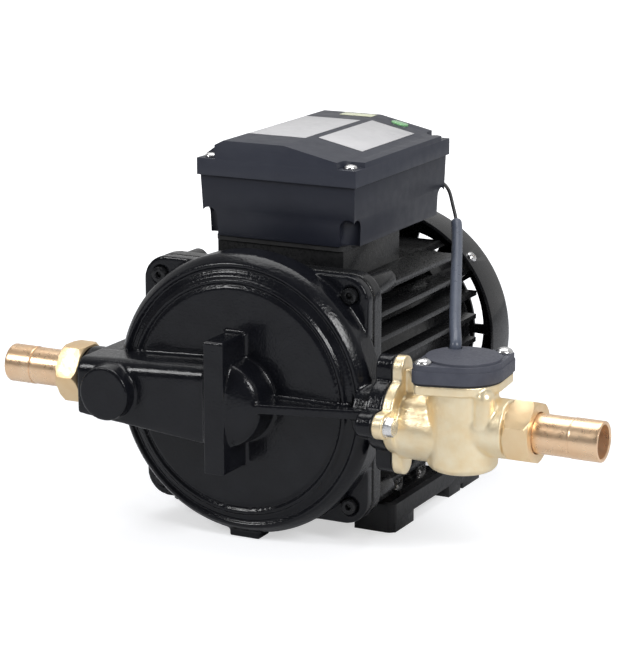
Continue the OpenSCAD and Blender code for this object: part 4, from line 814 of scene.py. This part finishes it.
@dataclass
class Unions(Assembly):
    """The two union nuts, each on its own body, with their washers and tails."""

    nut_edge_mm: float = 0.45
    bore_r_mm: float = 7.7
    collar_r_mm: float = 11.6
    collar_mm: float = 2.6
    plain_r_mm: float = 9.15
    end_r_mm: float = 9.35
    end_mm: float = 14.0
    seam_mm: float = 0.3
    edge_mm: float = 0.3
    lip_mm: float = 0.5

    def outline(self, long_mm: float) -> list[tuple[float, float]]:
        """Draws a tail's outline, from its collar out to its eased end and back along its bore.

        Args:
            long_mm: length of the whole tail.

        Returns:
            The points, each a radius and a height.
        """
        bore, plain, end, collar = self.bore_r_mm, self.plain_r_mm, self.end_r_mm, self.collar_r_mm
        groove, edge, lip = self.seam_mm, self.edge_mm, self.lip_mm
        seam, top = long_mm - self.end_mm, self.collar_mm
        return [(bore + edge, 0), (collar - edge, 0), (collar, edge), (collar, top - edge),
                (collar - edge, top), (plain, top), (plain, seam - 3 * groove), (plain, seam - groove),
                (plain - groove / 2, seam), (end - groove / 3, seam), (end, seam + groove),
                (end, seam + 3 * groove), (end, long_mm - 3 * lip), (end, long_mm - lip),
                (end - lip * 0.3, long_mm - lip * 0.3), (end - lip, long_mm), (bore + lip, long_mm),
                (bore, long_mm - lip), (bore, long_mm - 3 * lip), (bore, edge)]

    def tail(self, side: str) -> bpy.types.Object:
        """Turns a tail with its collar, the seam on its plain part and its eased end.

        Args:
            side: which tail, suction or discharge.

        Returns:
            The tail, in its place.
        """
        low, high = solids(f"{side}_tail")[0]
        tail = lathe(f"{side}_turned_tail", self.outline((high.x - low.x) / MM), closed=True)
        out = 1.0 if side == "discharge" else -1.0
        tail.data.transform(Matrix.Translation((low.x if out > 0 else high.x, (low.y + high.y) / 2,
                                                (low.z + high.z) / 2))
                            @ Matrix.Rotation(out * math.pi / 2, 4, "Y"))
        return tail

    def build(self) -> None:
        """Builds the nuts and the tails and finishes the washers."""
        for side in SIDES:
            self.round_off(f"{side}_nut", f"{side}_union_nut", self.nut_edge_mm, NUT_BRASS, "nut_brass",
                           body=f"{side}_union")
            self.add(self.tail(side), TAIL_BRASS, "tail_brass", f"{side}_tail", sharp_deg=30)
        self.dress(PAPER_GASKET, "suction_washer", "discharge_washer")


@dataclass
class SwitchLead(Assembly):
    """The switch's lead: a grey sleeve from the cover and a thin black lead into the box."""

    sleeve_r_mm: float = 2.7
    lead_r_mm: float = 0.9
    sleeve_end_share: float = 0.52
    lead_start_share: float = 0.51
    steps: int = 96
    rounding: int = 6
    route_mm: tuple[Point, ...] = (
        (103, -76, 99.8), (103, -76, 102), (102.4, -74, 105), (95, -58.5, 111), (80, -24, 122),
        (62, 17, 137), (51, 36, 145.5), (43, 48, 150.5), (34, 58, 151.5), (28, 56, 151),
        (28, 44, 150.9))

    def at(self, share: float) -> Vector:
        """Finds a place on the smooth route.

        Args:
            share: share of the route's spans, from 0 to 1.

        Returns:
            The place, in metres.
        """
        points = [Vector(p) * MM for p in self.route_mm]
        last = len(points) - 1
        i = min(int(share * last), last - 1)
        t = share * last - i
        a, b = points[max(i - 1, 0)], points[i]
        c, d = points[min(i + 1, last)], points[min(i + 2, last)]
        return 0.5 * (2 * b + (c - a) * t + (2 * a - 5 * b + 4 * c - d) * t ** 2
                      + (3 * b - a - 3 * c + d) * t ** 3)

    def tube(self, name: str, start: float, end: float, radius_mm: float) -> bpy.types.Object:
        """Lays a round tube along a stretch of the route.

        Args:
            name: the tube's name.
            start: share of the route where it starts.
            end: share where it ends.
            radius_mm: its radius.

        Returns:
            The tube, as a mesh.
        """
        curve = bpy.data.curves.new(name, "CURVE")
        curve.dimensions = "3D"
        curve.bevel_depth = radius_mm * MM
        curve.bevel_resolution = self.rounding
        curve.use_fill_caps = True
        spline = curve.splines.new("POLY")
        spline.points.add(self.steps)
        for k, point in enumerate(spline.points):
            point.co = (*self.at(start + (end - start) * k / self.steps), 1.0)
        shape = bpy.data.objects.new(name + "_path", curve)
        bpy.context.scene.collection.objects.link(shape)
        graph = bpy.context.evaluated_depsgraph_get()
        mesh = bpy.data.meshes.new_from_object(shape.evaluated_get(graph))
        bpy.data.objects.remove(shape)
        return linked(name, mesh)

    def build(self) -> None:
        """Lays the sleeve and the lead."""
        self.add(self.tube("lead_sleeve_tube", 0.0, self.sleeve_end_share, self.sleeve_r_mm),
                 SLEEVE, "sleeve_grey", "lead_sleeve")
        self.add(self.tube("switch_lead_tube", self.lead_start_share, 1.0, self.lead_r_mm),
                 LEAD, "lead_black", "switch_lead")


# Studio round the pump


@dataclass(frozen=True)
class Lamp:
    """A soft box: where it stands, how big it is and how strong."""

    name: str
    place: Point
    size: tuple[float, float]
    watts: float


@dataclass
class Studio:
    """Camera, lamps, pale floor and white surroundings."""

    target: Point = (0.03446, -0.079, 0.1072)
    azimuth_deg: float = 27.06
    elevation_deg: float = 13.62
    distance: float = 1.17436
    lens_mm: float = 140.1
    sensor_mm: float = 36.0
    near: float = 0.05
    far: float = 60.0
    floor_size: float = 6.0
    floor_colour: Colour = (0.6, 0.61, 0.635)
    glow_from: tuple[float, float] = (0.2, 0.55)
    glow_to: tuple[float, float] = (0.75, 1.0)
    front: tuple[float, float] = (-0.45, 0.08)
    back: tuple[float, float] = (0.75, 0.7)
    around: float = 0.42
    lamps: tuple[Lamp, ...] = (
        Lamp("right_softbox", (0.94, -0.6, 0.82), (0.4, 0.5), 10.5),
        Lamp("left_softbox", (-0.75, -0.95, 0.85), (0.3, 0.35), 5.6),
        Lamp("top_softbox", (-0.15, 0.25, 1.25), (1.0, 0.8), 8.0),
    )

    def camera(self) -> None:
        """Makes the camera at the photograph's viewing angle."""
        a, e = math.radians(self.azimuth_deg), math.radians(self.elevation_deg)
        back = Vector((math.sin(a) * math.cos(e), -math.cos(a) * math.cos(e), math.sin(e)))
        data = bpy.data.cameras.new("camera")
        data.lens = self.lens_mm
        data.sensor_width = self.sensor_mm
        data.clip_start, data.clip_end = self.near, self.far
        camera = bpy.data.objects.new("camera", data)
        bpy.context.scene.collection.objects.link(camera)
        camera.location = Vector(self.target) + back * self.distance
        camera.rotation_mode = "QUATERNION"
        camera.rotation_quaternion = (-back).to_track_quat("-Z", "Y")
        bpy.context.scene.camera = camera

    @staticmethod
    def rise(tree: bpy.types.NodeTree, source: bpy.types.NodeSocket,
             start: tuple[float, float], end: tuple[float, float]) -> bpy.types.NodeSocket:
        """Adds a straight rise of one value with another.

        Args:
            tree: the nodes that it is added to.
            source: the value that it follows.
            start: where on that value the rise starts, and from what.
            end: where it ends, and at what.

        Returns:
            The risen value.
        """
        node = tree.nodes.new("ShaderNodeMapRange")
        for label, value in zip(("From Min", "To Min", "From Max", "To Max"), (*start, *end)):
            node.inputs[label].default_value = value
        tree.links.new(source, node.inputs["Value"])
        return node.outputs["Result"]

    def floor(self) -> None:
        """Lays a pale floor that shows white to the camera and keeps the pump's shadow."""
        body = bmesh.new()
        bmesh.ops.create_grid(body, x_segments=2, y_segments=2, size=self.floor_size / 2)
        mesh = bpy.data.meshes.new("floor")
        body.to_mesh(mesh)
        body.free()
        floor = linked("floor", mesh)
        material = bpy.data.materials.new("pale_floor")
        material.use_nodes = True
        tree = material.node_tree
        tree.nodes.clear()
        matte = tree.nodes.new("ShaderNodeBsdfDiffuse")
        matte.inputs["Color"].default_value = (*self.floor_colour, 1.0)
        glow = tree.nodes.new("ShaderNodeEmission")
        path = tree.nodes.new("ShaderNodeLightPath")
        place = tree.nodes.new("ShaderNodeTexCoord")
        away = tree.nodes.new("ShaderNodeVectorMath")
        away.operation = "LENGTH"
        tree.links.new(place.outputs["Object"], away.inputs[0])
        share = tree.nodes.new("ShaderNodeMath")
        share.operation = "MULTIPLY"
        tree.links.new(self.rise(tree, away.outputs["Value"], self.glow_from, self.glow_to), share.inputs[1])
        both = tree.nodes.new("ShaderNodeAddShader")
        output = tree.nodes.new("ShaderNodeOutputMaterial")
        tree.links.new(path.outputs["Is Camera Ray"], share.inputs[0])
        tree.links.new(share.outputs[0], glow.inputs["Strength"])
        tree.links.new(matte.outputs[0], both.inputs[0])
        tree.links.new(glow.outputs[0], both.inputs[1])
        tree.links.new(both.outputs[0], output.inputs["Surface"])
        mesh.materials.append(material)

    def world(self) -> None:
        """Makes white surroundings, seen and mirrored, brighter behind the pump than in front."""
        world = bpy.data.worlds.new("studio")
        bpy.context.scene.world = world
        world.use_nodes = True
        tree = world.node_tree
        tree.nodes.clear()
        place = tree.nodes.new("ShaderNodeTexCoord")
        parts = tree.nodes.new("ShaderNodeSeparateXYZ")
        tree.links.new(place.outputs["Generated"], parts.inputs[0])
        mirror = self.rise(tree, parts.outputs["Y"], self.front, self.back)
        path = tree.nodes.new("ShaderNodeLightPath")
        gloss = tree.nodes.new("ShaderNodeMath")
        gloss.operation = "MAXIMUM"
        tree.links.new(path.outputs["Is Glossy Ray"], gloss.inputs[0])
        tree.links.new(path.outputs["Is Transmission Ray"], gloss.inputs[1])
        mirrored = tree.nodes.new("ShaderNodeMix")
        mirrored.inputs[2].default_value = self.around
        tree.links.new(gloss.outputs[0], mirrored.inputs[0])
        tree.links.new(mirror, mirrored.inputs[3])
        seen = tree.nodes.new("ShaderNodeMix")
        seen.inputs[3].default_value = 1.0
        tree.links.new(path.outputs["Is Camera Ray"], seen.inputs[0])
        tree.links.new(mirrored.outputs[0], seen.inputs[2])
        shine = tree.nodes.new("ShaderNodeBackground")
        output = tree.nodes.new("ShaderNodeOutputWorld")
        tree.links.new(seen.outputs[0], shine.inputs["Strength"])
        tree.links.new(shine.outputs[0], output.inputs["Surface"])

    def light(self) -> None:
        """Hangs the soft boxes, each turned to the pump."""
        for lamp in self.lamps:
            data = bpy.data.lights.new(lamp.name, "AREA")
            data.shape = "RECTANGLE"
            data.size, data.size_y = lamp.size
            data.energy = lamp.watts
            box = bpy.data.objects.new(lamp.name, data)
            bpy.context.scene.collection.objects.link(box)
            box.location = lamp.place
            aim = Vector(self.target) - Vector(lamp.place)
            box.rotation_mode = "QUATERNION"
            box.rotation_quaternion = aim.to_track_quat("-Z", "Y")

    def build(self) -> None:
        """Sets up the whole studio."""
        bpy.context.scene.view_settings.view_transform = "Standard"
        self.camera()
        self.floor()
        self.world()
        self.light()
        LOG.info("studio ready with %d soft boxes", len(self.lamps))


def main() -> None:
    """Builds the studio and the pump's sub-assemblies in order."""
    logging.basicConfig(level=logging.INFO, format="%(message)s")
    Studio().build()
    for assembly in (PumpHead(), Motor(), Rotor(), Cowl(), TerminalBox(), FlowSwitch(),
                     Unions(), SwitchLead()):
        assembly.build()


if __name__ == "__main__":
    main()
